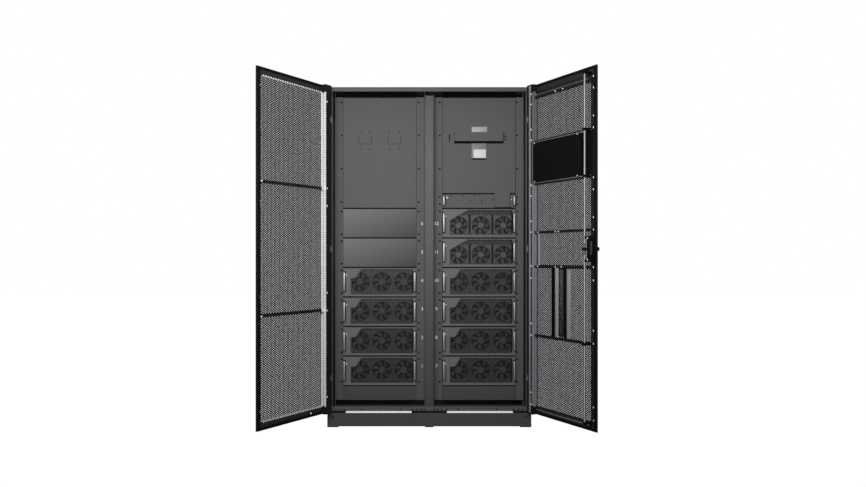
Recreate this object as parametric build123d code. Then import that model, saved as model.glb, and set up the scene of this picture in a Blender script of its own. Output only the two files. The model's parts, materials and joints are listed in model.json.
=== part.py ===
from build123d import *
from math import cos, radians
import os

# Modular power cabinet: a two-bay rack on a plinth, plug-in modules with three fans each,
# and two overlay doors that stand open. Millimetres, +Z up, the doors on the -Y side.
# The origin is the middle of the footprint, on the floor.

# Overall cabinet
CAB_D = 850.0
CAB_H = 2000.0
SHEET = 3.0

# Plinth
FOOT_H = 5.0
PLINTH_H = 79.0
PLINTH_FLANGE = 57.0
CORNER_FOOT_W = 65.0
CENTRE_FOOT_W = 49.0
ANCHOR_R = 7.0
ANCHOR_IN_X = 32.5
ANCHOR_IN_Y = 29.0
ANCHOR_SQUARE = 18.0
SKIRT_BOLT_R = 8.5
SKIRT_BOLT_SIDES = 12
SKIRT_BOLT_IN = 33.0
SKIRT_BOLT_Z = 59.0

# Base and roof
SLIT_H = 12.0
SPACER_END_W = 109.0
SPACER_MID_W = 208.0
BASE_LIP_H = 26.0
TOP_LIP_H = 25.0
CABLE_PLATE_W = 400.0
CABLE_PLATE_D = 170.0
CABLE_PLATE_IN = 70.0
CABLE_PLATE_LAP = 10.0
CABLE_PLATE_T = 1.5
POST_W = 28.0
POST_D = 50.0

# Rack
RACK_SETBACK = 112.0
UNIT = 44.45
BOTTOM_PLATE_UNITS = 2
MODULE_UNITS = 4
CONTROL_UNITS = 2
SLOTS = 6
RACK_LIFT = 18.0
TOP_GAP = 12.5
PANEL_W = 440.0
PANEL_T = 12.0
ROW_GAP = 3.0
EDGE_GAP = 1.5
INNER_STRIP_W = 51.5
OUTER_STRIP_W = 47.0
RAIL_LEDGE = 10.0
RAIL_RETURN = 50.0
CENTRE_POST_W = 49.0
CENTRE_POST_SETBACK = 60.0
CENTRE_POST_D = 40.0
CENTRE_FOOT_SPREAD = 11.0
CENTRE_FOOT_RISE = 26.0

# Modules
MODULES_LEFT = (1, 2, 3, 4)
MODULES_RIGHT = (1, 2, 3, 4)
MODULES_RIGHT_LOW_FAN = (5, 6)
GRILLE_T = 2.0
GRILLE_LAP = 4.0
GRILLE_SLOT_H = 14.0
GRILLE_SLOT_PITCH = 21.0
GRILLE_MARGIN = 8.0
FAN_TRAY_T = 38.0
FAN_BORE_SIDES = 10
FAN_TIP_GAP = 3.0
FAN_SPACE = 12.0
FAN_BLADES = 7
BLADE_T = 1.6
BLADE_TURN = 32.0
BLADE_ROOT_W = 14.0
BLADE_TIP_W = 30.0
BLADE_SWEEP = 5.0
HUB_FRONT_GAP = 2.0
CASE_SIDE = 16.0
CASE_EDGE = 3.0
REAR_SPACE = 60.0

# Pull handles on modules and control unit
HANDLE_W = 10.0
HANDLE_T = 8.0
HANDLE_OUT = 24.0
HANDLE_LEG = 10.0
MODULE_HANDLE_H = 113.0
CONTROL_HANDLE_H = 52.0
NOTCH_DEEP = 4.0
NOTCH_W = 17.0
NOTCH_H = 127.0
NOTCH_CHAMFER = 7.0
HANDLE_IN = 8.5

# Upper panels
FLAP_W = 78.0
FLAP_H = 47.0
FLAP_LINE = 2.0
FLAP_IN = 132.0
FLAP_BELOW_TOP = 235.0
GUARD_W = 301.0
GUARD_H = 54.0
GUARD_OUT = 16.0
GUARD_CHAMFER = 8.0
GUARD_BELOW_TOP = 211.0
SWITCH_PLATE_W = 90.0
SWITCH_PLATE_T = 6.0
SWITCH_GAP = 13.0
CONTROL_PLATE_W = 314.0
CONTROL_END_W = 33.0
BUTTON_R = 10.0
BUTTON_SIDES = 20
BUTTON_OUT = 6.0
BUTTON_U = 29.5
BUTTON_BELOW_TOP = 27.0

# Rear panels
REAR_BORDER = 45.0
REAR_MESH_LAP = 10.0
REAR_SEAM = 6.0
REAR_MESH_T = 1.5
REAR_CELL_W = 170.0
REAR_CELL_H = 220.0
REAR_RIB = 48.0

# Doors
DOOR_T = 38.0
LEAF_T = 10.0
DOOR_GAP = 6.0
DOOR_INSET = 3.0
DOOR_SEAM = 6.0
DOOR_FOOT_GAP = 6.0
HINGE_STILE = 63.0
LEFT_FREE_STILE = 25.0
RIGHT_FREE_STILE = 40.0
DOOR_RAIL = 47.0
MESH_T = 1.5
MESH_IN = 3.0
MESH_FLANGE = 6.0
MESH_CELL_W = 132.0
MESH_CELL_H = 170.0
MESH_RIB = 40.0
BAR_H = 14.0
BAR_D = 14.0
BAR_LAP = 12.0
LEFT_BARS_DOWN = (602.0, 1308.0)
TOP_BAR_DOWN = 77.0
DISPLAY_TOP_DOWN = 334.0
DISPLAY_LOW_DOWN = 577.0
STRIP_TOP_DOWN = 857.0
CHANNEL_TOP_DOWN = 1053.0
CHANNEL_LOW_DOWN = 1452.0
LEFT_OPEN = 121.0
RIGHT_OPEN = 117.5

# Hinges
PIVOT_IN = 9.0
HINGE_LOW = 206.0
HINGE_HIGH = 196.0
KNUCKLE_R = 6.0
KNUCKLE_CHAMFER = 3.0
KNUCKLE_H = 24.0
HINGE_CLEAR = 5.0
PIN_R = 4.0
PIN_FIT = 0.05
PIN_IN = 11.0
PIN_END_GAP = 4.0
LEAF_W = 24.0
LEAF_H = 60.0

# Display box and cable channel on the right door
DISPLAY_W = 437.0
DISPLAY_D = 26.0
SCREEN_W = 190.0
SCREEN_H = 130.0
SCREEN_U = 300.0
SCREEN_T = 3.0
SCREEN_GAP = 1.0
CHANNEL_U = 284.0
CHANNEL_W = 112.0
CHANNEL_WALL = 2.0
STRIP_U = 105.0
STRIP_W = 17.0

# Lock on the right door
LOCK_DOWN = 957.0
LOCK_CASE_W = 48.0
LOCK_CASE_H = 136.0
LOCK_CASE_BACK = 3.0
ROD_FREE_IN = 39.0
ROD_R = 4.0
ROD_FIT = 0.3
ROD_STANDOFF = 17.0
ROD_HOLD = 18.0
ROD_END_GAP = 5.0
LOCK_TRAVEL = 18.0
LOCK_CLEAR = 6.0
GUIDE_W = 20.0
GUIDE_H = 14.0
SHAFT_R = 6.0
SHAFT_FIT = 0.05
SHAFT_IN = 10.0
LEVER_LENGTH = 118.0
LEVER_W = 22.0
LEVER_TIP_W = 16.0
LEVER_T = 13.0
LEVER_GAP = 6.0

# Heights and planes that follow from the sizes above
front_y = -CAB_D / 2
back_y = CAB_D / 2
bay_half = CENTRE_POST_W / 2 + EDGE_GAP + INNER_STRIP_W + EDGE_GAP
rack_half = bay_half + PANEL_W + EDGE_GAP + OUTER_STRIP_W
half_w = rack_half + EDGE_GAP + POST_W + SHEET
plinth_top = FOOT_H + PLINTH_H
floor_z = plinth_top + SLIT_H
floor_top = floor_z + SHEET
base_lip_top = floor_z + BASE_LIP_H
roof_under = CAB_H - SHEET
top_lip_low = CAB_H - TOP_LIP_H
rack_y = front_y + RACK_SETBACK
rack_bottom = base_lip_top + RACK_LIFT
rack_top = top_lip_low - TOP_GAP
slots_bottom = rack_bottom + BOTTOM_PLATE_UNITS * UNIT
slot_pitch = MODULE_UNITS * UNIT
slots_top = slots_bottom + SLOTS * slot_pitch
control_top = slots_top + CONTROL_UNITS * UNIT
panel_back = rack_y + PANEL_T
bay_x = bay_half + PANEL_W / 2
handle_places = (HANDLE_IN, PANEL_W - HANDLE_IN)
door_w = half_w - DOOR_INSET - DOOR_SEAM / 2
door_low = plinth_top + DOOR_FOOT_GAP
door_face = front_y - DOOR_GAP - DOOR_T
hinge_x = half_w - DOOR_INSET - PIVOT_IN
hinge_y = door_face + DOOR_T / 2
hinge_low_z = door_low + HINGE_LOW
hinge_high_z = CAB_H - HINGE_HIGH
hinge_heights = (hinge_low_z, (hinge_low_z + hinge_high_z) / 2, hinge_high_z)
window_z0 = door_low + DOOR_RAIL
window_z1 = CAB_H - DOOR_RAIL
bar_v1 = LEAF_T + BAR_D
tray_y = panel_back + GRILLE_T
case_y = tray_y + FAN_TRAY_T
case_back = back_y - SHEET - REAR_MESH_T - REAR_SPACE
rod_v = DOOR_T + ROD_STANDOFF
rod_eye = ROD_R + ROD_FIT
rod_in = LOCK_TRAVEL + ROD_HOLD
rod_u = door_w - ROD_FREE_IN
lock_z = CAB_H - LOCK_DOWN
lock_u = door_w - RIGHT_FREE_STILE / 2
lock_case_top = lock_z + LOCK_CASE_H / 2
lock_case_low = lock_z - LOCK_CASE_H / 2
right_bars_down = (
    TOP_BAR_DOWN, DISPLAY_TOP_DOWN, DISPLAY_LOW_DOWN, STRIP_TOP_DOWN, CHANNEL_TOP_DOWN, CHANNEL_LOW_DOWN,
)


class ModuleType:
    """Face layout of a plug-in module: u from its left edge, depths down from its upper edge."""

    def __init__(self, left, right_in, top, foot, cut_u, cut_foot_u, cut_down, fan_in, fan_low, fan_r, hub_r):
        self.left = left
        self.right = PANEL_W - right_in
        self.top = top
        self.bottom = slot_pitch - foot
        self.cut_u = cut_u
        self.cut_foot_u = cut_foot_u
        self.cut_down = cut_down
        self.fan_down = slot_pitch / 2 + fan_low
        self.fan_r = fan_r
        self.hub_r = hub_r
        count = int((self.right - self.left) // (2 * fan_r + FAN_SPACE))
        pitch = (self.right - self.left - 2 * fan_in) / max(count - 1, 1)
        self.fan_u = [self.left + fan_in + step * pitch for step in range(count)]

    def outline(self):
        """Corners of the grille opening, with its upper left corner cut away."""
        corners = [(self.cut_u, self.top), (self.right, self.top), (self.right, self.bottom)]
        corners += [(self.left, self.bottom), (self.left, self.cut_down)]
        if self.cut_foot_u > self.left:
            corners.append((self.cut_foot_u, self.cut_down))
        return corners

    def left_at(self, down):
        """Left edge of the grille opening at one depth."""
        if down >= self.cut_down:
            return self.left
        share = (self.cut_down - max(down, self.top)) / (self.cut_down - self.top)
        return self.cut_foot_u + share * (self.cut_u - self.cut_foot_u)


MID_FAN_MODULE = ModuleType(
    left=45.0, right_in=19.0, top=11.4, foot=12.8, cut_u=106.0, cut_foot_u=74.7, cut_down=63.8,
    fan_in=54.0, fan_low=1.1, fan_r=54.0, hub_r=20.0,
)
LOW_FAN_MODULE = ModuleType(
    left=44.0, right_in=17.0, top=10.0, foot=15.8, cut_u=152.0, cut_foot_u=44.0, cut_down=72.0,
    fan_in=54.0, fan_low=15.1, fan_r=51.0, hub_r=18.0,
)


def block(x0, x1, y0, y1, z0, z1):
    """Box between two corners."""
    size = Box(abs(x1 - x0), abs(y1 - y0), abs(z1 - z0))
    return Pos((x0 + x1) / 2, (y0 + y1) / 2, (z0 + z1) / 2) * size


def plate_from_outline(points, y0, y1):
    """Flat plate that stands in the XZ plane, from y0 to y1."""
    face = make_face(Polyline(*[(x, z) for x, z in points], close=True))
    return Pos(0, y1, 0) * (Rot(90, 0, 0) * extrude(face, y1 - y0))


def upright_rod(x, y, z0, z1, radius):
    """Round rod along Z."""
    return Pos(x, y, (z0 + z1) / 2) * Cylinder(radius, z1 - z0)


def cells(low, high, size):
    """Edges of the equal cells, each near a given size, that fill a length."""
    count = max(round((high - low) / size), 1)
    step = (high - low) / count
    return [(low + place * step, low + (place + 1) * step) for place in range(count)]


def save(node, *pieces):
    """Write one node, with all its solids, to its own file."""
    solids = [solid for piece in pieces for solid in piece.solids()]
    shape = solids[0] if len(solids) == 1 else Compound(children=solids)
    export_step(shape, f"parts/{node}.step")


# Plinth

def plinth_end(sign):
    """Channel across the front or the rear of the plinth, with a square hole above each anchor."""
    face_y = sign * back_y
    inner_y = face_y - sign * SHEET
    flange_y = face_y - sign * PLINTH_FLANGE
    channel = block(-half_w, half_w, face_y, inner_y, FOOT_H, plinth_top)
    channel += block(-half_w, half_w, inner_y, flange_y, FOOT_H, FOOT_H + SHEET)
    channel += block(-half_w, half_w, inner_y, flange_y, plinth_top - SHEET, plinth_top)
    for x in (-half_w + ANCHOR_IN_X, half_w - ANCHOR_IN_X):
        anchor_y = face_y - sign * ANCHOR_IN_Y
        channel -= Pos(x, anchor_y, FOOT_H + SHEET / 2) * Box(ANCHOR_SQUARE, ANCHOR_SQUARE, 2 * SHEET)
    return channel


def plinth_front():
    """Front channel with its two bolt recesses."""
    channel = plinth_end(-1)
    for x in (-half_w + SKIRT_BOLT_IN, half_w - SKIRT_BOLT_IN):
        hole = Rot(90, 0, 0) * extrude(RegularPolygon(SKIRT_BOLT_R, SKIRT_BOLT_SIDES), 2 * SHEET, both=True)
        channel -= Pos(x, front_y, SKIRT_BOLT_Z) * hole
    return channel


def plinth_side(sign):
    """Channel along one side of the plinth, between the two end channels."""
    face_x = sign * half_w
    inner_x = face_x - sign * SHEET
    flange_x = face_x - sign * PLINTH_FLANGE
    end_y = back_y - PLINTH_FLANGE
    channel = block(face_x, inner_x, -end_y, end_y, FOOT_H, plinth_top)
    channel += block(inner_x, flange_x, -end_y, end_y, FOOT_H, FOOT_H + SHEET)
    channel += block(inner_x, flange_x, -end_y, end_y, plinth_top - SHEET, plinth_top)
    return channel


def plinth_feet():
    """Four corner pads with anchor holes and two middle pads."""
    pads = []
    for sign_y in (-1, 1):
        outer_y = sign_y * back_y
        inner_y = outer_y - sign_y * PLINTH_FLANGE
        pads.append(block(-CENTRE_FOOT_W / 2, CENTRE_FOOT_W / 2, outer_y, inner_y, 0, FOOT_H))
        for sign_x in (-1, 1):
            outer_x = sign_x * half_w
            pad = block(outer_x, outer_x - sign_x * CORNER_FOOT_W, outer_y, inner_y, 0, FOOT_H)
            anchor_x = outer_x - sign_x * ANCHOR_IN_X
            anchor_y = outer_y - sign_y * ANCHOR_IN_Y
            pads.append(pad - upright_rod(anchor_x, anchor_y, -1, FOOT_H + 1, ANCHOR_R))
    return pads


# Cabinet shell

def base_spacers():
    """Blocks that leave an air slit between plinth and base on every bay."""
    blocks = []
    spans = (
        (-half_w, -half_w + SPACER_END_W),
        (-SPACER_MID_W / 2, SPACER_MID_W / 2),
        (half_w - SPACER_END_W, half_w),
    )
    for sign in (-1, 1):
        outer_y = sign * back_y
        inner_y = outer_y - sign * PLINTH_FLANGE
        blocks += [block(x0, x1, outer_y, inner_y, plinth_top, floor_z) for x0, x1 in spans]
    return blocks


def cross_lips(z0, z1):
    """Front and rear lips of the base or the roof."""
    return [block(-half_w, half_w, sign * back_y, sign * (back_y - SHEET), z0, z1) for sign in (-1, 1)]


def cable_plate_place(sign, edge):
    """Corners of one cable entry in the roof, grown or shrunk by an edge width."""
    half = CABLE_PLATE_W / 2 + edge
    y1 = back_y - CABLE_PLATE_IN
    return sign * bay_x - half, sign * bay_x + half, y1 - CABLE_PLATE_D - edge, y1 + edge


def roof_panel():
    """Roof sheet with two cable entries near the rear."""
    sheet = block(-half_w, half_w, front_y, back_y, roof_under, CAB_H)
    for sign in (-1, 1):
        sheet -= block(*cable_plate_place(sign, EDGE_GAP), roof_under - 1, CAB_H + 1)
    return sheet


def cable_plate(sign):
    """Flush cover of a cable entry, clamped by a flange under the roof."""
    cover = block(*cable_plate_place(sign, 0), roof_under, CAB_H)
    return cover + block(*cable_plate_place(sign, CABLE_PLATE_LAP), roof_under - CABLE_PLATE_T, roof_under)


def corner_posts():
    """Four upright box sections between base and roof."""
    posts = []
    for sign_x in (-1, 1):
        outer_x = sign_x * (half_w - SHEET)
        for sign_y in (-1, 1):
            outer_y = sign_y * (back_y - SHEET)
            inner_x = outer_x - sign_x * POST_W
            inner_y = outer_y - sign_y * POST_D
            posts.append(block(outer_x, inner_x, outer_y, inner_y, floor_top, roof_under))
    return posts


def side_panel(sign):
    """Plain side sheet between the front and rear lips."""
    depth = back_y - SHEET
    return block(sign * half_w, sign * (half_w - SHEET), -depth, depth, floor_top, roof_under)


def rear_span(sign):
    """Left and right edge of one rear panel."""
    edges = (sign * REAR_SEAM / 2, sign * (half_w - SHEET))
    return min(edges), max(edges)


def rear_panel(sign):
    """Rear cover frame with a window for the perforated sheet."""
    x0, x1 = rear_span(sign)
    panel = block(x0, x1, back_y - SHEET, back_y, base_lip_top, top_lip_low)
    window = block(
        x0 + REAR_BORDER, x1 - REAR_BORDER, back_y - 2 * SHEET, back_y + SHEET,
        base_lip_top + REAR_BORDER, top_lip_low - REAR_BORDER,
    )
    return panel - window


def rear_mesh(sign):
    """Perforated sheet behind the window of a rear panel, open in a grid."""
    x0, x1 = rear_span(sign)
    edge = REAR_BORDER - REAR_MESH_LAP
    sheet_y = back_y - SHEET
    sheet = block(
        x0 + edge, x1 - edge, sheet_y - REAR_MESH_T, sheet_y,
        base_lip_top + edge, top_lip_low - edge,
    )
    columns = cells(x0 + REAR_BORDER, x1 - REAR_BORDER, REAR_CELL_W)
    rows = cells(base_lip_top + REAR_BORDER, top_lip_low - REAR_BORDER, REAR_CELL_H)
    rib = REAR_RIB / 2
    return sheet - [
        block(left + rib, right - rib, sheet_y - 2 * REAR_MESH_T, sheet_y + REAR_MESH_T, low + rib, high - rib)
        for left, right in columns for low, high in rows
    ]


def centre_post():
    """Upright between the bays, on a flared foot."""
    half = CENTRE_POST_W / 2
    foot = half + CENTRE_FOOT_SPREAD
    knee = floor_top + CENTRE_FOOT_RISE
    outline = [
        (-foot, floor_top), (foot, floor_top), (half, knee),
        (half, rack_top), (-half, rack_top), (-half, knee),
    ]
    post_y = front_y + CENTRE_POST_SETBACK
    return plate_from_outline(outline, post_y, post_y + CENTRE_POST_D)


# Rack rails and plain panels

def rail(panel_edge, strip_end):
    """Rack rail: face strip, web, ledge behind the panels and a return leg down to the floor."""
    out = 1 if strip_end > panel_edge else -1
    strip_edge = panel_edge + out * EDGE_GAP
    profile = block(strip_edge, strip_end, rack_y, rack_y + SHEET, rack_bottom, rack_top)
    profile += block(strip_edge, strip_edge + out * SHEET, rack_y, panel_back + SHEET, rack_bottom, rack_top)
    ledge_tip = panel_edge - out * RAIL_LEDGE
    profile += block(ledge_tip, strip_edge + out * SHEET, panel_back, panel_back + SHEET, rack_bottom, rack_top)
    leg = block(strip_end - out * SHEET, strip_end, rack_y, rack_y + RAIL_RETURN, floor_top, roof_under)
    return profile + leg


def bay_rails(sign):
    """Outer and inner rail of one bay."""
    inner_edge = sign * (bay_x - PANEL_W / 2)
    outer_edge = sign * (bay_x + PANEL_W / 2)
    inner_end = sign * (CENTRE_POST_W / 2 + EDGE_GAP)
    return [rail(outer_edge, sign * rack_half), rail(inner_edge, inner_end)]


def bay_left(sign):
    """X of the left edge of the panels in one bay."""
    return sign * bay_x - PANEL_W / 2


def panel(sign, z0, z1, u0=0.0, u1=PANEL_W):
    """Rack panel with a shadow gap above it."""
    left = bay_left(sign)
    return block(left + u0, left + u1, rack_y, panel_back, z0, z1 - ROW_GAP)


def slot_top(slot):
    """Upper edge of a module slot, counted from the bottom."""
    return slots_bottom + slot * slot_pitch


def upper_panel():
    """Panel over the left bay with two folded cable flaps outlined by narrow cuts."""
    plate = panel(-1, slots_top, rack_top)
    left = bay_left(-1)
    flap_top = rack_top - FLAP_BELOW_TOP
    flap_low = flap_top - FLAP_H
    for flap_u in (FLAP_IN, PANEL_W - FLAP_IN):
        x0 = left + flap_u - FLAP_W / 2
        x1 = left + flap_u + FLAP_W / 2
        deep = rack_y + SHEET
        plate -= block(x0, x0 + FLAP_LINE, rack_y - 1, deep, flap_low, flap_top)
        plate -= block(x1 - FLAP_LINE, x1, rack_y - 1, deep, flap_low, flap_top)
        plate -= block(x0, x1, rack_y - 1, deep, flap_low, flap_low + FLAP_LINE)
    return plate


def bypass_panel():
    """Panel over the right bay, with a tongue that runs down between the control plates."""
    tongue_u0 = CONTROL_PLATE_W + EDGE_GAP
    tongue_u1 = PANEL_W - CONTROL_END_W - EDGE_GAP
    return panel(1, control_top, rack_top) + panel(1, slots_top, control_top + ROW_GAP, tongue_u0, tongue_u1)


def switch_guard():
    """Bar that guards the switch, with chamfered ends."""
    middle = bay_x
    top = rack_top - GUARD_BELOW_TOP
    bar = block(middle - GUARD_W / 2, middle + GUARD_W / 2, rack_y - GUARD_OUT, rack_y, top - GUARD_H, top)
    outer_edges = bar.edges().filter_by(Axis.Z).sort_by(Axis.Y)[:2]
    return chamfer(outer_edges, GUARD_CHAMFER)


def switch_plate():
    """Square plate of the bypass switch, below the guard."""
    top = rack_top - GUARD_BELOW_TOP - GUARD_H - SWITCH_GAP
    half = SWITCH_PLATE_W / 2
    return block(bay_x - half, bay_x + half, rack_y - SWITCH_PLATE_T, rack_y, top - SWITCH_PLATE_W, top)


def control_button():
    """Round push button on the control unit."""
    button = Rot(90, 0, 0) * extrude(RegularPolygon(BUTTON_R, BUTTON_SIDES), BUTTON_OUT)
    return Pos(bay_left(1) + BUTTON_U, rack_y, control_top - BUTTON_BELOW_TOP) * button


# Modules

def face_point(sign, slot, u, down):
    """X and Z of a point on a module's face."""
    return bay_left(sign) + u, slot_top(slot) - down


def handle_notch(sign, slot, u_edge, u_inner):
    """Shallow recess beside a pull handle, with chamfered inner corners."""
    middle = slot_pitch / 2
    low = middle + NOTCH_H / 2
    high = middle - NOTCH_H / 2
    turn = NOTCH_CHAMFER if u_inner > u_edge else -NOTCH_CHAMFER
    corners = [
        (u_edge, high), (u_inner - turn, high), (u_inner, high + NOTCH_CHAMFER),
        (u_inner, low - NOTCH_CHAMFER), (u_inner - turn, low), (u_edge, low),
    ]
    outline = [face_point(sign, slot, u, down) for u, down in corners]
    return plate_from_outline(outline, rack_y - 1, rack_y + NOTCH_DEEP)


def module_front(sign, slot, kind):
    """Module bezel with its grille opening and two handle notches."""
    bezel = panel(sign, slot_top(slot - 1), slot_top(slot))
    opening = [face_point(sign, slot, u, down) for u, down in kind.outline()]
    bezel -= plate_from_outline(opening, rack_y - 1, panel_back + 1)
    bezel -= handle_notch(sign, slot, -1, NOTCH_W)
    bezel -= handle_notch(sign, slot, PANEL_W + 1, PANEL_W - NOTCH_W)
    return bezel


def module_grille(sign, slot, kind):
    """Sheet behind the grille opening with rows of slots that let the fans show."""
    x0, z1 = face_point(sign, slot, kind.left - GRILLE_LAP, kind.top - GRILLE_LAP)
    x1, z0 = face_point(sign, slot, kind.right + GRILLE_LAP, kind.bottom + GRILLE_LAP)
    sheet = block(x0, x1, panel_back, tray_y, z0, z1)
    rows = int((kind.bottom - kind.top - 2 * GRILLE_MARGIN) / GRILLE_SLOT_PITCH) + 1
    slots = []
    for row in range(rows):
        down = kind.top + GRILLE_MARGIN + row * GRILLE_SLOT_PITCH
        start = max(kind.left_at(down), kind.left_at(down + GRILLE_SLOT_H)) + GRILLE_MARGIN
        slot_x0, slot_z1 = face_point(sign, slot, start, down)
        slot_x1, slot_z0 = face_point(sign, slot, kind.right - GRILLE_MARGIN, down + GRILLE_SLOT_H)
        slots.append(block(slot_x0, slot_x1, panel_back - 1, tray_y + 1, slot_z0, slot_z1))
    return sheet - slots


def fan_tray(sign, slot, kind):
    """Block that carries the three fans, with a many-sided bore for each."""
    x0, z1 = face_point(sign, slot, kind.left - GRILLE_LAP, kind.top - GRILLE_LAP)
    x1, z0 = face_point(sign, slot, kind.right + GRILLE_LAP, kind.bottom + GRILLE_LAP)
    tray = block(x0, x1, tray_y, case_y, z0, z1)
    bore = extrude(RegularPolygon(kind.fan_r + FAN_TIP_GAP, FAN_BORE_SIDES), FAN_TRAY_T + 2)
    for fan_u in kind.fan_u:
        x, z = face_point(sign, slot, fan_u, kind.fan_down)
        tray -= Pos(x, case_y + 1, z) * (Rot(90, 0, 0) * bore)
    return tray


def fan_rotor(kind):
    """Hub with one flat for each swept, pitched blade, on the Y axis, its back face at Y = 0."""
    depth = FAN_TRAY_T - HUB_FRONT_GAP
    rotor = extrude(RegularPolygon(kind.hub_r, FAN_BLADES), depth)
    half_turn = 180 / FAN_BLADES
    root = kind.hub_r * cos(radians(half_turn))
    half_root = BLADE_ROOT_W / 2
    swept = BLADE_TIP_W / 2 + BLADE_SWEEP
    tip = (kind.fan_r ** 2 - swept ** 2) ** 0.5
    corners = [(root, -half_root), (tip, -swept), (tip, BLADE_TIP_W - swept), (root, half_root)]
    blade = Pos(0, 0, -BLADE_T / 2) * extrude(make_face(Polyline(*corners, close=True)), BLADE_T)
    blade = Pos(0, 0, depth / 2) * (Rot(BLADE_TURN, 0, 0) * blade)
    for step in range(FAN_BLADES):
        rotor += Rot(0, 0, (2 * step + 1) * half_turn) * blade
    return Rot(90, 0, 0) * rotor


def module_rotors(sign, slot, kind, rotor):
    """The three rotors of a module, each on the front of the module's case."""
    places = [face_point(sign, slot, fan_u, kind.fan_down) for fan_u in kind.fan_u]
    return [Pos(x, case_y, z) * rotor for x, z in places]


def module_case(sign, slot):
    """Closed module body behind the fans."""
    left = bay_left(sign)
    z0 = slot_top(slot - 1) + CASE_EDGE
    z1 = slot_top(slot) - ROW_GAP - CASE_EDGE
    return block(left + CASE_SIDE, left + PANEL_W - CASE_SIDE, case_y, case_back, z0, z1)


def pull_handle(x, z, height, foot_y):
    """Upright bar on two legs, with a finger gap behind it."""
    half = HANDLE_W / 2
    bar_y = rack_y - HANDLE_OUT
    z0 = z - height / 2
    z1 = z + height / 2
    handle = block(x - half, x + half, bar_y, bar_y + HANDLE_T, z0, z1)
    handle += block(x - half, x + half, bar_y, foot_y, z0, z0 + HANDLE_LEG)
    handle += block(x - half, x + half, bar_y, foot_y, z1 - HANDLE_LEG, z1)
    return handle


def module_handles(sign, slot):
    """Left and right pull handle of a module, standing in its notches."""
    handles = []
    for u in handle_places:
        x, z = face_point(sign, slot, u, slot_pitch / 2)
        handles.append(pull_handle(x, z, MODULE_HANDLE_H, rack_y + NOTCH_DEEP))
    return handles


def control_handles():
    """Two smaller pull handles on the control plates."""
    z = (slots_top + control_top - ROW_GAP) / 2
    return [pull_handle(bay_left(1) + u, z, CONTROL_HANDLE_H, rack_y) for u in handle_places]


# Doors, laid out shut and then swung open about their hinges

def door_x(sign, u):
    """X of a point on the shut door, u measured from its hinge edge."""
    return sign * (half_w - DOOR_INSET - u)


def door_block(sign, u0, u1, v0, v1, z0, z1):
    """Box on the shut door: u across from the hinge edge, v in from the outer face."""
    return block(door_x(sign, u0), door_x(sign, u1), door_face + v0, door_face + v1, z0, z1)


def window_end(sign):
    """Far edge of a door's window, at its free stile."""
    return door_w - (LEFT_FREE_STILE if sign < 0 else RIGHT_FREE_STILE)


def swing(sign, shape):
    """Turn a piece of a shut door to its open rest position."""
    angle = LEFT_OPEN if sign < 0 else RIGHT_OPEN
    hinge = Pos(sign * hinge_x, hinge_y, 0)
    back = Pos(-sign * hinge_x, -hinge_y, 0)
    return hinge * Rot(0, 0, sign * angle) * back * shape


def door_frame(sign):
    """Thin leaf with a window for the mesh, and a deep hinge stile with hinge notches and pin bores."""
    stile = door_block(sign, 0, HINGE_STILE, 0, DOOR_T, door_low, CAB_H)
    hinge_edges = stile.edges().filter_by(Axis.Z).sort_by(Axis.X)
    stile = fillet(hinge_edges[:2] if sign < 0 else hinge_edges[-2:], PIVOT_IN)
    leaf = stile + door_block(sign, HINGE_STILE, door_w, 0, LEAF_T, door_low, CAB_H)
    leaf -= door_block(sign, HINGE_STILE, window_end(sign), -1, LEAF_T + 1, window_z0, window_z1)
    notch = KNUCKLE_H / 2 + HINGE_CLEAR
    depth = PIVOT_IN + KNUCKLE_R + HINGE_CLEAR
    bore = notch + PIN_IN + PIN_END_GAP
    for z in hinge_heights:
        leaf -= door_block(sign, -1, depth, -1, DOOR_T + 1, z - notch, z + notch)
        leaf -= upright_rod(sign * hinge_x, hinge_y, z, z + bore, PIN_R + PIN_FIT)
    return leaf


def mesh_fields(depths):
    """Lower and upper edge of each stretch of mesh between the cross bars, from the top down."""
    edges = [window_z1]
    for down in depths:
        edges += [bar_top(down), bar_low(down)]
    edges.append(window_z0)
    return list(zip(edges[1::2], edges[0::2]))


def mesh_openings(sign, z0, z1):
    """Grid of openings in one stretch of mesh; a stretch lower than half a cell stays whole."""
    if z1 - z0 < MESH_CELL_H / 2:
        return []
    columns = cells(HINGE_STILE + MESH_T, window_end(sign) - MESH_T, MESH_CELL_W)
    rows = cells(z0, z1, MESH_CELL_H)
    rib = MESH_RIB / 2
    return [
        door_block(sign, left + rib, right - rib, 0, MESH_IN + 2 * MESH_T, low + rib, high - rib)
        for left, right in columns for low, high in rows
    ]


def door_mesh(sign, fields):
    """Perforated pan in the door's window: a face near the outside, open in a grid, and a folded rim."""
    rim = MESH_IN + MESH_FLANGE
    end = window_end(sign)
    pan = door_block(sign, HINGE_STILE, end, MESH_IN, rim, window_z0, window_z1)
    pan -= door_block(
        sign, HINGE_STILE + MESH_T, end - MESH_T, MESH_IN + MESH_T, rim + 1,
        window_z0 + MESH_T, window_z1 - MESH_T,
    )
    return pan - [opening for z0, z1 in fields for opening in mesh_openings(sign, z0, z1)]


def door_bars(sign, depths):
    """Cross bars from the hinge stile to the free stile, each at a depth below the door's top."""
    end = window_end(sign) + BAR_LAP
    return [door_block(sign, HINGE_STILE, end, LEAF_T, bar_v1, bar_low(down), bar_top(down)) for down in depths]


def bar_low(down):
    """Lower face of a cross bar."""
    return CAB_H - down - BAR_H / 2


def bar_top(down):
    """Upper face of a cross bar."""
    return CAB_H - down + BAR_H / 2


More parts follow.
